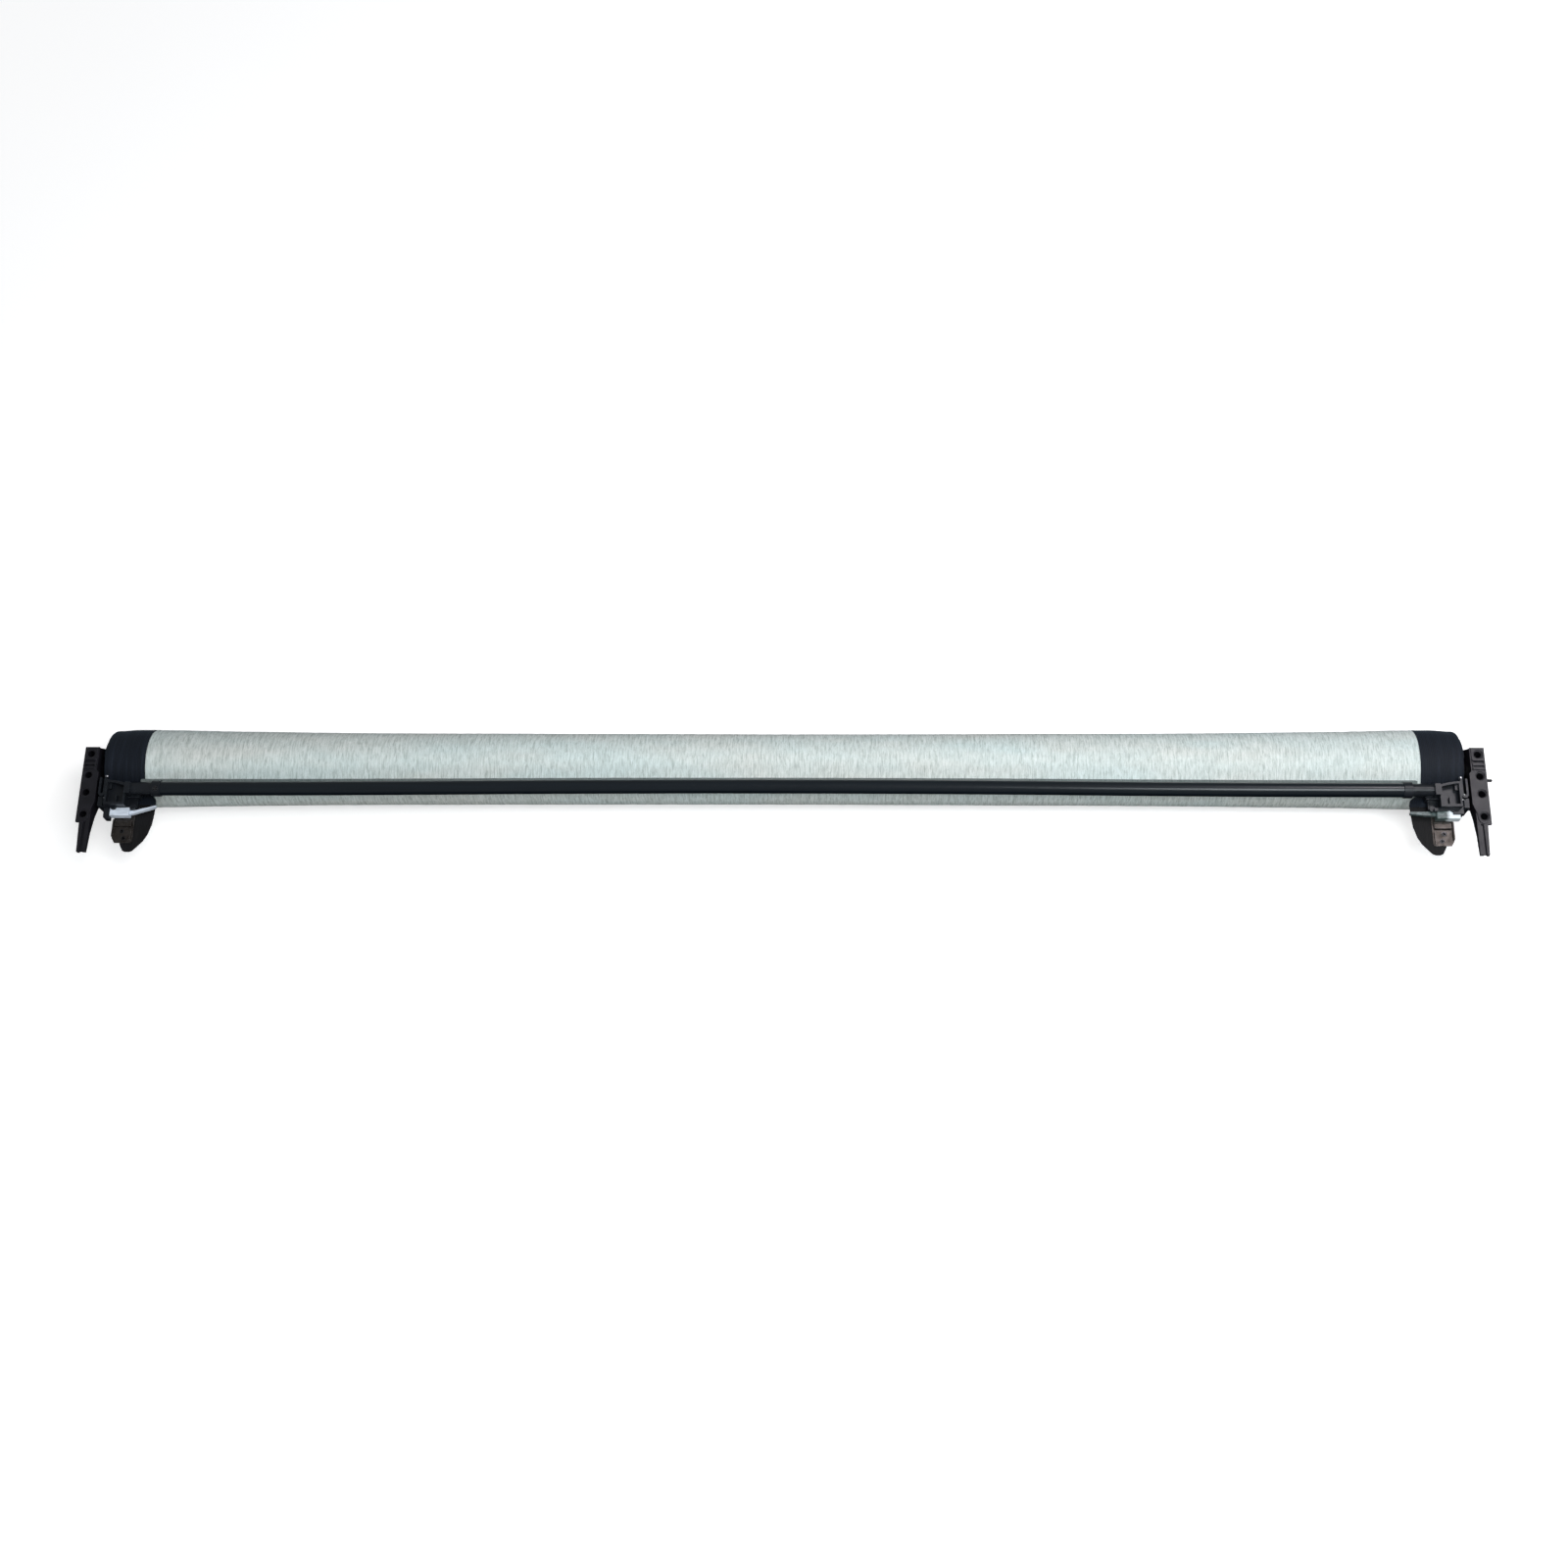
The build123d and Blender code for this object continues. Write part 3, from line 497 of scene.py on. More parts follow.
def shoe_with_painted_shade():
    """The right-hand shoe: its arm and inner end carry painted shade, a mottled dark grey-green, and its outer end
    stays near white.
    """
    m, nt, b = material("glide_acetal_painted_shade")
    L = nt.links.new
    sep = nt.nodes.new("ShaderNodeSeparateXYZ")
    L(coords(nt, "Object", (1, 1, 1)), sep.inputs[0])
    blot = noise(nt, coords(nt, "Object", (420, 420, 420)), 1.0, 4.0, 0.62, 0.5)
    edge = math_node(nt, "ADD", sep.outputs[0], math_node(nt, "MULTIPLY", math_node(nt, "SUBTRACT", blot, 0.5), 0.006))
    n = nt.nodes.new("ShaderNodeMapRange")
    L(edge, n.inputs["Value"])
    n.inputs["From Min"].default_value = 0.4585
    n.inputs["From Max"].default_value = 0.4615
    # painted shade: the arm and inner end are coloured dark grey-green, as if in shadow; only the outer end keeps the
    # acetal's white
    painted_shade = ramp(nt, blot, [(0.34, (0.030, 0.048, 0.048)), (0.52, (0.065, 0.095, 0.095)), (0.70, (0.17, 0.22, 0.215))])
    base = mix_colour(nt, n.outputs[0], painted_shade, (0.80, 0.88, 0.92))
    L(base, b.inputs["Base Color"])
    L(math_node(nt, "ADD", math_node(nt, "MULTIPLY", blot, 0.2), 0.25), b.inputs["Roughness"])
    L(bump(nt, blot, 0.3, 0.00008), b.inputs["Normal"])
    return m


M_SHOE_RIGHT_PAINTED_SHADE = shoe_with_painted_shade()

BY_SLOT = {
    "curtain_fabric": M_CURTAIN, "side_tape": M_TONGUE, "black_bar": M_BAR, "bracket_nylon": M_BRACKET, "carriage_nylon": M_CARRIAGE,
    "white_acetal": M_WHITE, "bush_acetal": M_BUSH, "clip_steel": M_CLIP, "plated_steel": M_PLATED, "spring_steel": M_SPRING,
    "aluminium_tube": M_ALU, "flock": M_FLOCK, "buffer_rubber": M_RUBBER,
}
SLOT_OF = {s["node"]: s["material_slot"] for s in frame["record"]["subparts"]}
BY_NODE = {
    "glide_shoe_right": M_SHOE_RIGHT_PAINTED_SHADE, "clip_rivets_left": M_OXIDE, "clip_rivets_right": M_OXIDE, "bar_screw_left": M_OXIDE,
    "clip_screw_left": M_OXIDE, "clip_screw_right": M_OXIDE,
}


def finish_of(name):
    return BY_NODE.get(name, BY_SLOT[SLOT_OF[name]])


def put(ob, mat):
    ob.data.materials.clear()
    ob.data.materials.append(mat)


for name, ob in NODES.items():
    put(ob, finish_of(name))


# ------------------------------------------------------------------ the wound curtain
TURNS = 9
T_FABRIC = 0.85


def spiral_points(x, phi, relief=None):
    """Outer face of the wound sheet at x and at phi, the angle wound back from the top of the roll."""
    R = pchip_like(x)
    r = R - (R - TUBE_R - 0.25) * phi / (2 * math.pi * TURNS)
    if relief is not None:
        r = r + relief
    return np.stack([x, r * np.sin(phi), r * np.cos(phi)], -1)


def edge_lift(x):
    """The curtain's hemmed edge stands a little proud beside the tape."""
    d = FH - np.abs(x)
    return 0.16 * np.exp(-((d - 1.1) / 1.0) ** 2) - 0.25 * np.exp(-(d / 0.45) ** 2)


cols = np.concatenate([np.linspace(-FH, -FH + 4, 9)[:-1], np.linspace(-FH + 4, FH - 4, 760), np.linspace(FH - 4, FH, 9)[1:]])
b = Builder()
phi = np.linspace(0, 2 * math.pi, 71)
X, PHI = np.meshgrid(cols, phi)
S = PHI * pchip_like(X)
rel = crepe(X, S) + edge_lift(X)
P = spiral_points(X, PHI, rel)
N = away(normals(P), P)
b.closed_sheet(P, N, T_FABRIC, X, S)
# the turns beneath, which show only where the curtain ends
for k in range(1, TURNS):
    c2 = np.linspace(-FH + 0.4, FH - 0.4, 56)
    phi = np.linspace(2 * math.pi * k, 2 * math.pi * (k + 1), 41)
    X, PHI = np.meshgrid(c2, phi)
    P = spiral_points(X, PHI)
    b.closed_sheet(P, away(normals(P), P), T_FABRIC, X, PHI * 22.0)
roll = b.make("curtain_wound")
put(roll, M_CURTAIN)
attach(roll, "roller")
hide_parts("curtain_roll")


# ------------------------------------------------------------------ the wound side tapes
T_TAPE = 1.12
R_TAPE = 28.35


def tape_width(k, side, rnd):
    """Outer edge of turn k, counted from the outside: the outer turns creep inwards."""
    base = TAPE_X1 - [1.9, 0.9, 0.45][k] if k < 3 else TAPE_X1 - 0.12
    return base - rnd.uniform(0, 0.28)


def tape_roll(side):
    rnd = random.Random(5 if side > 0 else 9)
    b = Builder()
    for k in range(TURNS):
        x_in = FH + (0.35 if k == 0 else 0.6)
        x_out = tape_width(k, side, rnd)
        cols = np.linspace(x_in, x_out, 70 if k == 0 else 12)
        phi = np.linspace(2 * math.pi * k, 2 * math.pi * (k + 1), 81 if k == 0 else 61)
        X, PHI = np.meshgrid(cols, phi)
        r = R_TAPE - (R_TAPE - TUBE_R - 0.2) * PHI / (2 * math.pi * TURNS)
        # the tape sags a little towards its free edge, and its rolled edges drop away
        t = (X - x_in) / (x_out - x_in)
        if k < 3:
            r = r - 0.75 * smooth((t - 0.35) / 0.65) - 0.9 * np.clip((t - 0.93) / 0.07, 0, 1) ** 2
            r = r + 0.12 * np.exp(-((X - x_in - 1.2) / 1.0) ** 2)
        S = PHI * R_TAPE
        if k == 0:
            r = r + 0.045 * np.sin(X * 2 * math.pi / 1.15 + 1.2 * vnoise(X / 6, S / 30, 6)) + 0.10 * vnoise(X / 9, S / 22, 7)
        else:
            r = r + 0.06 * vnoise(X / 9, S / 22, 7 + k)
        X = X + 0.18 * vnoise(S / 17.0, np.full_like(S, k * 3.7), 8) * t
        P = np.stack([side * X, r * np.sin(PHI), r * np.cos(PHI)], -1)
        b.closed_sheet(P, away(normals(P), P), T_TAPE, X, S)
    ob = b.make("side_tape_wound_" + ("right" if side > 0 else "left"))
    put(ob, M_TAPE)
    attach(ob, "roller")
    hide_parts("tape_roll_" + ("right" if side > 0 else "left"))
    return ob


tapes = {s: tape_roll(s) for s in (1, -1)}


def lead_path(x):
    """Outer face of the curtain from the top of the roll to the underside of the bar, at one x."""
    R = float(pchip_like(x))
    cy, cz = BAR_Y + float(bow(x)), BAR_Z
    wy, wz = cy + 2.6, cz - 5.55
    d, a = math.hypot(wy, wz), math.atan2(-wy, wz)
    a1 = a - math.acos(min(1.0, R / d))
    pts = []
    for i in range(14):
        q = a1 * (i - 0.25) / 13
        pts.append((-R * math.sin(q), R * math.cos(q)))
    y0, z0 = -R * math.sin(a1), R * math.cos(a1)
    for i in range(1, 10):
        t = i / 9
        pts.append((y0 + (wy - y0) * t, z0 + (wz - z0) * t - 0.12 * math.sin(math.pi * t)))
    return pts


def hem_path(x):
    """The hem's outer face, from where the run meets it round under the bar."""
    cy, cz = BAR_Y + float(bow(x)), BAR_Z
    r = BAR_R + 0.10 + 1.25
    return [(cy + r * math.sin(q), cz - r * math.cos(q)) for q in np.radians(np.linspace(44, -27, 14))]


def cloth_between(b, xs, path, thick, fade_end=0, rel_scale=1.0):
    rows = [path(x) for x in xs]
    P = np.array([[(x, y, z) for (y, z) in row] for x, row in zip(xs, rows)]).transpose(1, 0, 2)
    d = np.linalg.norm(np.diff(P, axis=0), axis=2)
    S = np.concatenate([np.zeros((1, P.shape[1])), np.cumsum(d, axis=0)], 0)
    N = normals(P)
    # outward: away from the roll at the start of the sheet, and the same side all along it
    N = N * np.where((N[1] * (P[1] * np.array([0, 1, 1]) if path is lead_path else P[1] - P[1] * 0 - np.stack(
        [P[1][:, 0], BAR_Y + bow(xs), np.full(len(xs), BAR_Z)], 1))).sum(1) < 0, -1.0, 1.0)[None, :, None]
    rel = (crepe(P[..., 0], -S) + (edge_lift(P[..., 0]) if path is lead_path else 0)) * rel_scale
    if fade_end:
        f = np.ones(P.shape[0])
        f[-fade_end:] = np.linspace(1, 0.1, fade_end)
        rel = rel * f[:, None]
    P = P + N * rel[..., None]
    b.closed_sheet(P, N, thick, P[..., 0], -S)
    return S


HEM_X = 427.2
cols = np.concatenate([np.linspace(-FH, -FH + 4, 9)[:-1], np.linspace(-FH + 4, FH - 4, 760), np.linspace(FH - 4, FH, 9)[1:]])
b = Builder()
S1 = cloth_between(b, cols, lead_path, T_FABRIC, fade_end=5)
lead = b.make("curtain_run_to_bar")
put(lead, M_CURTAIN)
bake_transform(lead)
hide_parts("curtain_lead")

b = Builder()
S2 = cloth_between(b, np.linspace(-HEM_X, HEM_X, 430), hem_path, 1.15, rel_scale=0.5)
hem_len = float(S2[-1].mean())
hem = b.make("curtain_hem_fold")
put(hem, M_CURTAIN)
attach(hem, "pull_bar")
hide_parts("curtain_hem")


def tube_along(name, pts, radius, seg=12):
    """Round cord of stitching or weld through points in mm about the winding axis."""
    P = np.array(pts, float)
    T = np.gradient(P, axis=0)
    T /= np.linalg.norm(T, axis=1, keepdims=True)
    A = np.cross(T, np.array([0, 0, 1.0]))
    A /= np.linalg.norm(A, axis=1, keepdims=True)
    B = np.cross(A, T)
    th = np.linspace(0, 2 * math.pi, seg, endpoint=False)
    R = np.asarray(radius) * np.ones(len(P))
    V = P[:, None, :] + (A[:, None, :] * np.cos(th)[None, :, None] + B[:, None, :] * np.sin(th)[None, :, None]) * R[:, None, None]
    n = len(P)
    verts = V.reshape(-1, 3) * MM + np.array([0, AY * MM, AZ * MM])
    faces = []
    for i in range(n - 1):
        for j in range(seg):
            k = (j + 1) % seg
            faces.append((i * seg + j, i * seg + k, (i + 1) * seg + k, (i + 1) * seg + j))
    faces.append(tuple(range(seg))[::-1])
    faces.append(tuple((n - 1) * seg + j for j in range(seg)))
    ob = new_object(name, verts, faces)
    crisp(ob)
    return ob


# the hem's front edge is heat-welded to a round bead
q = math.radians(-29)
xs = np.linspace(-HEM_X + 0.4, HEM_X - 0.4, 300)
rr = BAR_R + 0.78
pts = [(x, BAR_Y + float(bow(x)) + rr * math.sin(q), BAR_Z - rr * math.cos(q)) for x in xs]
bead = tube_along("hem_weld_bead", pts, 0.62 + 0.04 * vnoise(xs / 3.0, xs * 0, 2), 10)
put(bead, M_CURTAIN)
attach(bead, "pull_bar")


# ------------------------------------------------------------------ the welt behind the bar
WELT_TILT = 36.7


def welt_section(x):
    """Closed outline (y, z) of the welt at x: a foot on the curtain's run and a leaning lip with rounded edges."""
    cy, cz = BAR_Y + 6.57 + 0.62 * float(bow(x)), 24.25
    c, s_ = math.cos(math.radians(WELT_TILT)), math.sin(math.radians(WELT_TILT))
    run = np.array(lead_path(x)[14:])
    yf = cy - 1.3 * c - 0.25
    zf = float(np.interp(-yf, -run[:, 0], run[:, 1])) + 0.02
    lip_f, lip_r = (cy - 1.3 * c, cz - 1.3 * s_), (cy + 1.3 * c, cz + 1.3 * s_)
    h = 0.38
    out = [(yf - h, zf + 0.1), (yf - h, lip_f[1] - 0.35)]
    # front corner of the fold, then the top face, the rear edge and the underside
    for a in (200, 165, 130):
        a = math.radians(a + WELT_TILT - 36)
        out.append((lip_f[0] + h * math.cos(a), lip_f[1] + h * math.sin(a)))
    for t in (0.15, 0.4, 0.65, 0.9):
        y, z = lip_f[0] + (lip_r[0] - lip_f[0]) * t, lip_f[1] + (lip_r[1] - lip_f[1]) * t
        out.append((y - s_ * h, z + c * h + 0.10 * math.sin(math.pi * t)))
    for a in (100, 40, -20):
        a = math.radians(a + WELT_TILT - 12)
        out.append((lip_r[0] + h * 0.8 * math.cos(a) - 0.25 * c, lip_r[1] + h * 0.8 * math.sin(a) - 0.25 * s_))
    for t in (0.8, 0.5, 0.3):
        y, z = lip_f[0] + (lip_r[0] - lip_f[0]) * t, lip_f[1] + (lip_r[1] - lip_f[1]) * t
        out.append((y + s_ * h, z - c * h))
    out.append((yf + h, zf + 0.15))
    return out, (zf if abs(x) <= 429.3 else None), lip_f


def welt():
    xs = np.concatenate([np.linspace(-446.1, -442, 5)[:-1], np.linspace(-442, 440.9, 640)])
    secs = []
    for i, x in enumerate(xs):
        out, zf, lip_f = welt_section(x)
        out = np.array(out)
        if zf is None:
            # clear of the collars there is only the lip
            out[[0, 1, -1], 1] = np.maximum(out[[0, 1, -1], 1], lip_f[1] - 0.32)
            out[[0, 1, -1], 0] = np.maximum(out[[0, 1, -1], 0], lip_f[0] - 0.30)
        end = min(x + 446.1, 440.9 - x)
        shrink = 1 - 0.35 * max(0, 1 - end / 1.2) ** 2
        ctr = out.mean(0)
        wob = np.array([0.07, 0.12]) * vnoise(np.array([x / 5.0, x / 5.0]), np.array([3.1, 8.7]), 5)
        secs.append(np.concatenate([np.full((len(out), 1), x), (out - ctr) * shrink + ctr + wob], 1))
    V = np.array(secs)
    n, k = V.shape[:2]
    verts = V.reshape(-1, 3) * MM + np.array([0, AY * MM, AZ * MM])
    faces = []
    for i in range(n - 1):
        for j in range(k):
            m_ = (j + 1) % k
            faces.append((i * k + j, i * k + m_, (i + 1) * k + m_, (i + 1) * k + j))
    faces.append(tuple(range(k))[::-1])
    faces.append(tuple((n - 1) * k + j for j in range(k)))
    ob = new_object("hem_welt", verts, faces)
    crisp(ob, 55)
    put(ob, M_WELT_PAINTED_SHADE)
    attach(ob, "pull_bar")
    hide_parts("curtain_hem_welt")
    return ob


welt_ob = welt()


# ------------------------------------------------------------------ the run of each side tape to its tongue
def tape_run(side):
    b = Builder()
    n_row = 40
    xs = np.linspace(0, 1, 44)
    tongue_z = 15.0 + T_TAPE / 2
    rows = []
    for u in xs:
        x_roll = (FH + 0.35) + u * (TAPE_X1 - 2.2 - FH - 0.35)
        # the light curtain's own path at its edge, and the tape's own path under the carriage
        R = R_TAPE
        ang = np.radians(np.linspace(0, 57, 20))
        own = np.stack([-R * np.sin(ang), R * np.cos(ang)], 1)
        own = np.concatenate([own, [(-26.0, 15.75), (-27.6, tongue_z + 0.02), (-30.0, tongue_z + 0.62), (-33.2, tongue_z + 0.62)]])
        def resample(p, n):
            d = np.concatenate([[0], np.cumsum(np.linalg.norm(np.diff(p, axis=0), axis=1))])
            t = np.linspace(0, d[-1], n)
            return np.stack([np.interp(t, d, p[:, 0]), np.interp(t, d, p[:, 1])], 1)
        o = resample(own, n_row)
        rows.append([(u, x_roll, y, z) for y, z in o])
    A = np.array(rows).transpose(1, 0, 2)
    U_, X_, Y_, Z_ = A[..., 0], A[..., 1], A[..., 2], A[..., 3]
    # beside the light curtain the tape follows it as far as the bar's rear
    e = np.array(lead_path(FH)[:21])
    order = np.argsort(-e[:, 0])
    y_light = np.interp(-Y_, -e[order][:, 0], e[order][:, 1])
    near = np.exp(-((X_ - FH) / 2.6) ** 2) * (Y_ > -20.5)
    Z_ = Z_ + (y_light - Z_) * np.clip(near, 0, 1)
    # the tape tapers in to the tongue's width at the front
    f = smooth((-Y_ - 22.0) / 8.0)
    inner, outer = 436.6, 463.4
    X_ = X_ * (1 - f) + (inner + U_ * (outer - inner)) * f
    t = U_
    Z_ = Z_ - (0.75 * smooth((t - 0.35) / 0.65) + 0.6 * np.clip((t - 0.93) / 0.07, 0, 1) ** 2) * (1 - f)
    Z_ = Z_ + 0.045 * np.sin(X_ * 2 * math.pi / 1.15) * (1 - f)
    P = np.stack([side * X_, Y_, Z_], -1)
    d = np.linalg.norm(np.diff(P, axis=0), axis=2)
    S = np.concatenate([np.zeros((1, P.shape[1])), np.cumsum(d, axis=0)], 0)
    N = normals(P)
    N = N * np.sign(N[2:3, :, 2:3])
    b.closed_sheet(P, N, T_TAPE, X_, -S)
    ob = b.make("side_tape_run_" + ("right" if side > 0 else "left"))
    put(ob, M_TAPE)
    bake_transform(ob)
    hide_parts("tape_lead_" + ("right" if side > 0 else "left"))
    return ob, float(S[-1].mean())


runs = {s: tape_run(s) for s in (1, -1)}


# ------------------------------------------------------------------ the pull bar
def pull_bar():
    xs = np.concatenate([np.linspace(BAR_X0, -BOW_HALF, 6)[:-1], np.linspace(-BOW_HALF, BOW_HALF, 161), np.linspace(BOW_HALF, BAR_X1, 6)[1:]])
    th = np.linspace(0, 2 * math.pi, 65)
    X, TH = np.meshgrid(xs, th)
    cy = BAR_Y + bow(X)
    # turned-over ends
    end = np.minimum(X - BAR_X0, BAR_X1 - X)
    r = BAR_R - 0.35 * np.clip(1 - end / 0.6, 0, 1) ** 2
    verts, faces = [], []
    R, C = X.shape
    seg = R - 1
    V = np.stack([X, cy + r * np.sin(TH), BAR_Z + r * np.cos(TH)], -1)[:-1]
    Vi = np.stack([X, cy + (BAR_R - 0.9) * np.sin(TH), BAR_Z + (BAR_R - 0.9) * np.cos(TH)], -1)[:-1]
    verts = np.concatenate([V.reshape(-1, 3), Vi.reshape(-1, 3)]) * MM + np.array([0, AY * MM, AZ * MM])
    o = seg * C
    for i in range(seg):
        j = (i + 1) % seg
        for c in range(C - 1):
            faces.append((i * C + c, i * C + c + 1, j * C + c + 1, j * C + c))
            faces.append((o + i * C + c, o + j * C + c, o + j * C + c + 1, o + i * C + c + 1))
        faces.append((i * C, j * C, o + j * C, o + i * C))
        e = C - 1
        faces.append((i * C + e, o + i * C + e, o + j * C + e, j * C + e))
    ob = new_object("pull_bar_tube_painted", verts, faces)
    bm = bmesh.new()
    bm.from_mesh(ob.data)
    bmesh.ops.recalc_face_normals(bm, faces=bm.faces)
    bm.to_mesh(ob.data)
    bm.free()
    put(ob, M_BAR)
    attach(ob, "pull_bar")
    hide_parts("pull_bar_tube")
    return ob


pull_bar()


# ------------------------------------------------------------------ moulded and pressed pieces, with their real edge radii
def volume_of(me):
    bm = bmesh.new()
    bm.from_mesh(me)
    v = abs(bm.calc_volume())
    loose = sum(1 for e in bm.edges if len(e.link_faces) != 2)
    bm.free()
    return v, loose


def keep_volume(src, ob):
    a, _ = volume_of(src.data)
    b, loose = volume_of(ob.data)
    if abs(b / a - 1) > 0.03 or loose:
        print("SHELL %s volume %.3f of the CAD piece, %d open edges" % (ob.name, b / a, loose))


def refined(node_name, width, segments=2, angle=28.0, mat=None):
    """A copy of a CAD piece whose tessellation is cleaned and whose sharp edges get their mould radius."""
    src = NODES[node_name]
    me = src.data.copy()
    me.name = node_name + "_shell"
    ob = bpy.data.objects.new(node_name + "_shell", me)
    bpy.context.scene.collection.objects.link(ob)
    bm = bmesh.new()
    bm.from_mesh(me)
    bmesh.ops.remove_doubles(bm, verts=bm.verts, dist=2e-6)
    bmesh.ops.dissolve_degenerate(bm, edges=bm.edges, dist=1e-6)
    if not node_name.startswith("bracket"):
        bmesh.ops.dissolve_limit(bm, angle_limit=math.radians(1.0), verts=bm.verts, edges=bm.edges)
    bmesh.ops.recalc_face_normals(bm, faces=bm.faces)
    bm.to_mesh(me)
    bm.free()
    me.polygons.foreach_set("use_smooth", [True] * len(me.polygons))
    mod = ob.modifiers.new("edge", "BEVEL")
    mod.width = width * MM
    mod.segments = segments
    mod.limit_method = "ANGLE"
    mod.angle_limit = math.radians(angle)
    mod.use_clamp_overlap = True
    mod.miter_outer = "MITER_ARC"
    flat = ob.modifiers.new("flat", "WEIGHTED_NORMAL")
    flat.weight = 80
    flat.keep_sharp = True
    dg = bpy.context.evaluated_depsgraph_get()
    new = bpy.data.meshes.new_from_object(ob.evaluated_get(dg))
    ob.modifiers.clear()
    old = ob.data
    ob.data = new
    bpy.data.meshes.remove(old)
    keep_volume(src, ob)
    put(ob, mat or finish_of(node_name))
    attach(ob, src["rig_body"])
    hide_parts(node_name)
    return ob


for n, w in (("bracket_left", 0.30), ("bracket_right", 0.30), ("carriage_left", 0.22), ("carriage_right", 0.22),
             ("side_spring_left", 0.15), ("side_spring_right", 0.15), ("tape_clip_left", 0.10), ("tape_clip_right", 0.10),
             ("glide_shoe_left", 0.25), ("glide_shoe_right", 0.25), ("tape_tongue_left", 0.30), ("tape_tongue_right", 0.30),
             ("tube_plug_left", 0.25), ("tube_plug_right", 0.25), ("bar_collar_left", 0.2), ("bar_collar_right", 0.2),
             ("stop_buffer_left", 0.25), ("stop_buffer_right", 0.25)):
    refined(n, w)

# ------------------------------------------------------------------ the side tapes' width in metres, worked out and not used
flat_len = 0.0
for s, word in ((1, "right"), (-1, "left")):
    w = (TAPE_X1 - FH) * MM

# ------------------------------------------------------------------ floor, light and camera
FLOOR_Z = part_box("curtain_roll")[0].z - 0.0006


def stage_piece(name, build, colour, glow):
    me = bpy.data.meshes.new(name)
    bm = bmesh.new()
    build(bm)
    bm.to_mesh(me)
    bm.free()
    ob = bpy.data.objects.new(name, me)
    bpy.context.scene.collection.objects.link(ob)
    m, nt, bs = material(name + "_paint")
    sp = noise(nt, coords(nt, "Object", (3, 3, 3)), 1.0, 2.0)
    nt.links.new(mix_colour(nt, sp, tuple(c * 0.985 for c in colour), colour), bs.inputs["Base Color"])
    bs.inputs["Roughness"].default_value = 0.9
    bs.inputs["Specular IOR Level"].default_value = 0.1
    bs.inputs["Emission Color"].default_value = (*colour, 1)
    bs.inputs["Emission Strength"].default_value = glow
    put(ob, m)
    # the paper is seen, and takes shadows, but is not what lights the object
    ob.visible_diffuse = False
    ob.visible_glossy = False
    return ob


floor = stage_piece("studio_floor", lambda bm: bmesh.ops.create_grid(bm, x_segments=2, y_segments=2, size=6.0), (0.93, 0.93, 0.93), 1.0)
floor.location = (0, 0, FLOOR_Z)
# the paper's painted glow is dimmer near the object and rises away from it, so that it meets the backdrop without a
# horizon
fm = floor.data.materials[0].node_tree
fb = next(n for n in fm.nodes if n.type == "BSDF_PRINCIPLED")
far = fm.nodes.new("ShaderNodeVectorMath")
far.operation = "LENGTH"
fm.links.new(coords(fm, "Object", (1, 1, 0)), far.inputs[0])
reach = fm.nodes.new("ShaderNodeMapRange")
reach.interpolation_type = "SMOOTHSTEP"
fm.links.new(far.outputs["Value"], reach.inputs["Value"])
reach.inputs["From Min"].default_value = 0.6
reach.inputs["From Max"].default_value = 2.6
fm.links.new(mix_colour(fm, reach.outputs[0], (0.50, 0.50, 0.50), (0.97, 0.97, 0.97)), fb.inputs["Emission Color"])


def dome(bm):
    bmesh.ops.create_uvsphere(bm, u_segments=48, v_segments=24, radius=9.0)
    bmesh.ops.reverse_faces(bm, faces=bm.faces)


backdrop = stage_piece("studio_backdrop", dome, (0.93, 0.93, 0.93), 0.95)
backdrop.visible_shadow = False
backdrop.visible_transmission = False

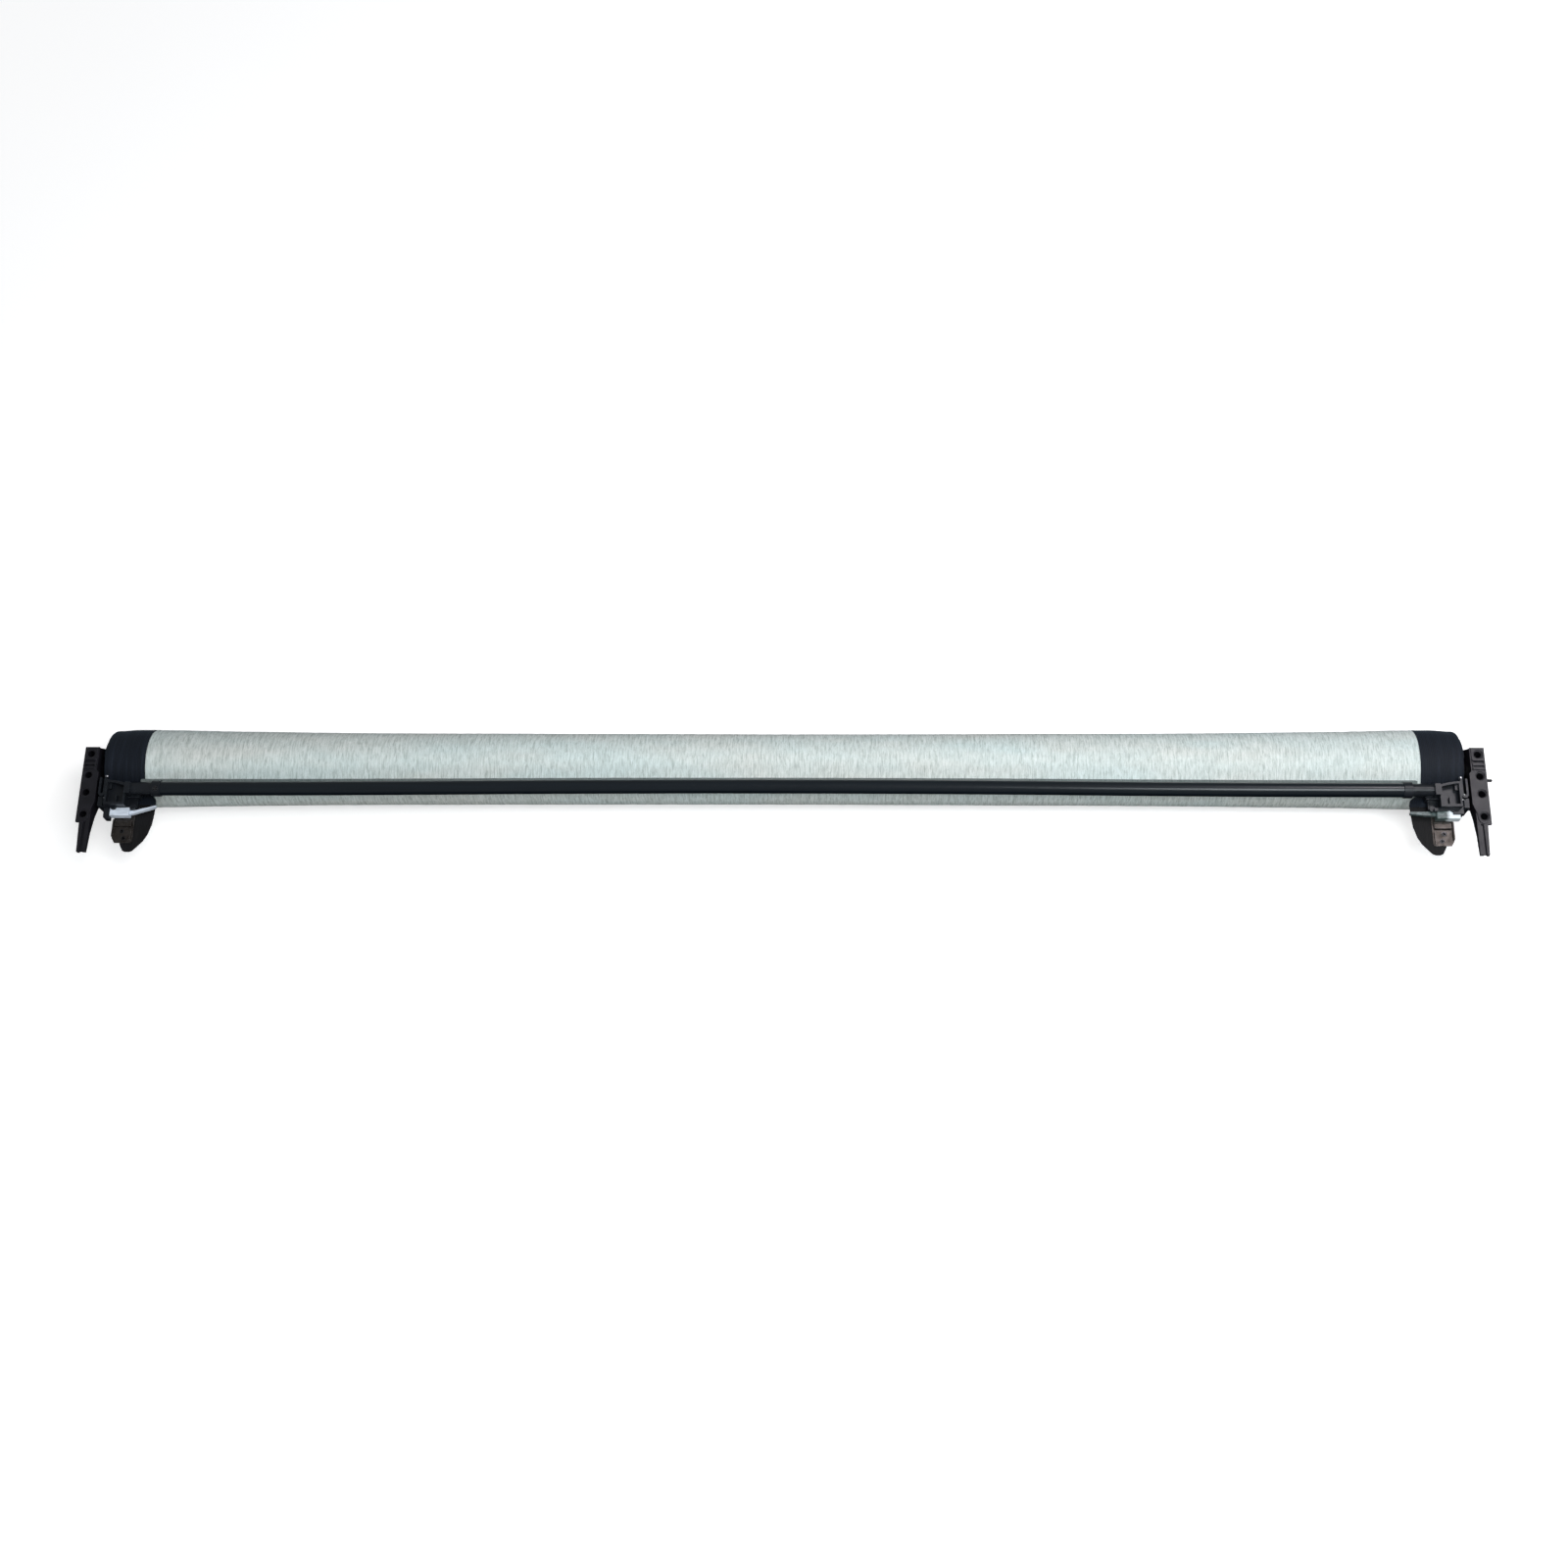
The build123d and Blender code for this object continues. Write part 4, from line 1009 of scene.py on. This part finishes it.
world = bpy.data.worlds.new("studio")
bpy.context.scene.world = world
world.use_nodes = True
wt = world.node_tree
bg = wt.nodes["Background"]
tc = wt.nodes.new("ShaderNodeTexCoord")
sp = wt.nodes.new("ShaderNodeSeparateXYZ")
wt.links.new(tc.outputs["Generated"], sp.inputs[0])
rp = wt.nodes.new("ShaderNodeValToRGB")
rp.color_ramp.elements[0].position = 0.30
rp.color_ramp.elements[0].color = (0.05, 0.055, 0.06, 1)
rp.color_ramp.elements[1].position = 0.62
rp.color_ramp.elements[1].color = (0.93, 0.97, 1.0, 1)
up = wt.nodes.new("ShaderNodeMath")
up.operation = "MULTIPLY_ADD"
up.inputs[1].default_value = 0.5
up.inputs[2].default_value = 0.5
wt.links.new(sp.outputs[2], up.inputs[0])
wt.links.new(up.outputs[0], rp.inputs[0])
wt.links.new(rp.outputs[0], bg.inputs[0])
bg.inputs[1].default_value = 0.20


def area_light(name, loc, target, size, energy, colour=(1, 1, 1), glossy=True):
    d = bpy.data.lights.new(name, "AREA")
    d.shape = "RECTANGLE"
    d.size, d.size_y = size
    d.energy = energy
    d.color = colour
    o = bpy.data.objects.new(name, d)
    o.location = loc
    o.rotation_euler = (Vector(target) - Vector(loc)).to_track_quat("-Z", "Y").to_euler()
    o.visible_glossy = glossy
    bpy.context.scene.collection.objects.link(o)
    return o


area_light("main_softbox", (0.12, -0.12, 1.10), (0.12, -0.01, 0.0), (0.55, 0.45), 6.6, (1.0, 0.995, 0.99), glossy=False)
area_light("bar_softbox", (0.62, -0.34, 1.06), (0.36, 0.0, 0.0), (0.50, 0.34), 4.0, (0.90, 0.97, 1.0))
area_light("flange_softbox", (0.86, 0.45, 1.08), (0.48, 0.0, 0.0), (0.36, 0.36), 3.7, (1.0, 0.95, 1.0))
area_light("front_fill", (-0.2, -1.4, 0.50), (0.0, 0.0, -0.02), (1.4, 0.5), 6.6, (1.0, 0.985, 0.97), glossy=False)

cam_data = bpy.data.cameras.new("camera")
cam = bpy.data.objects.new("camera", cam_data)
bpy.context.scene.collection.objects.link(cam)
cam_data.sensor_width = 36.0
cam_data.lens = 48.375
cam.location = (0.0643966, -0.5225055, 1.3626852)
cam.rotation_euler = (0.36730880, 0.03671265, 0.01547741)
bpy.context.scene.camera = cam
bpy.context.scene.view_settings.view_transform = "Standard"
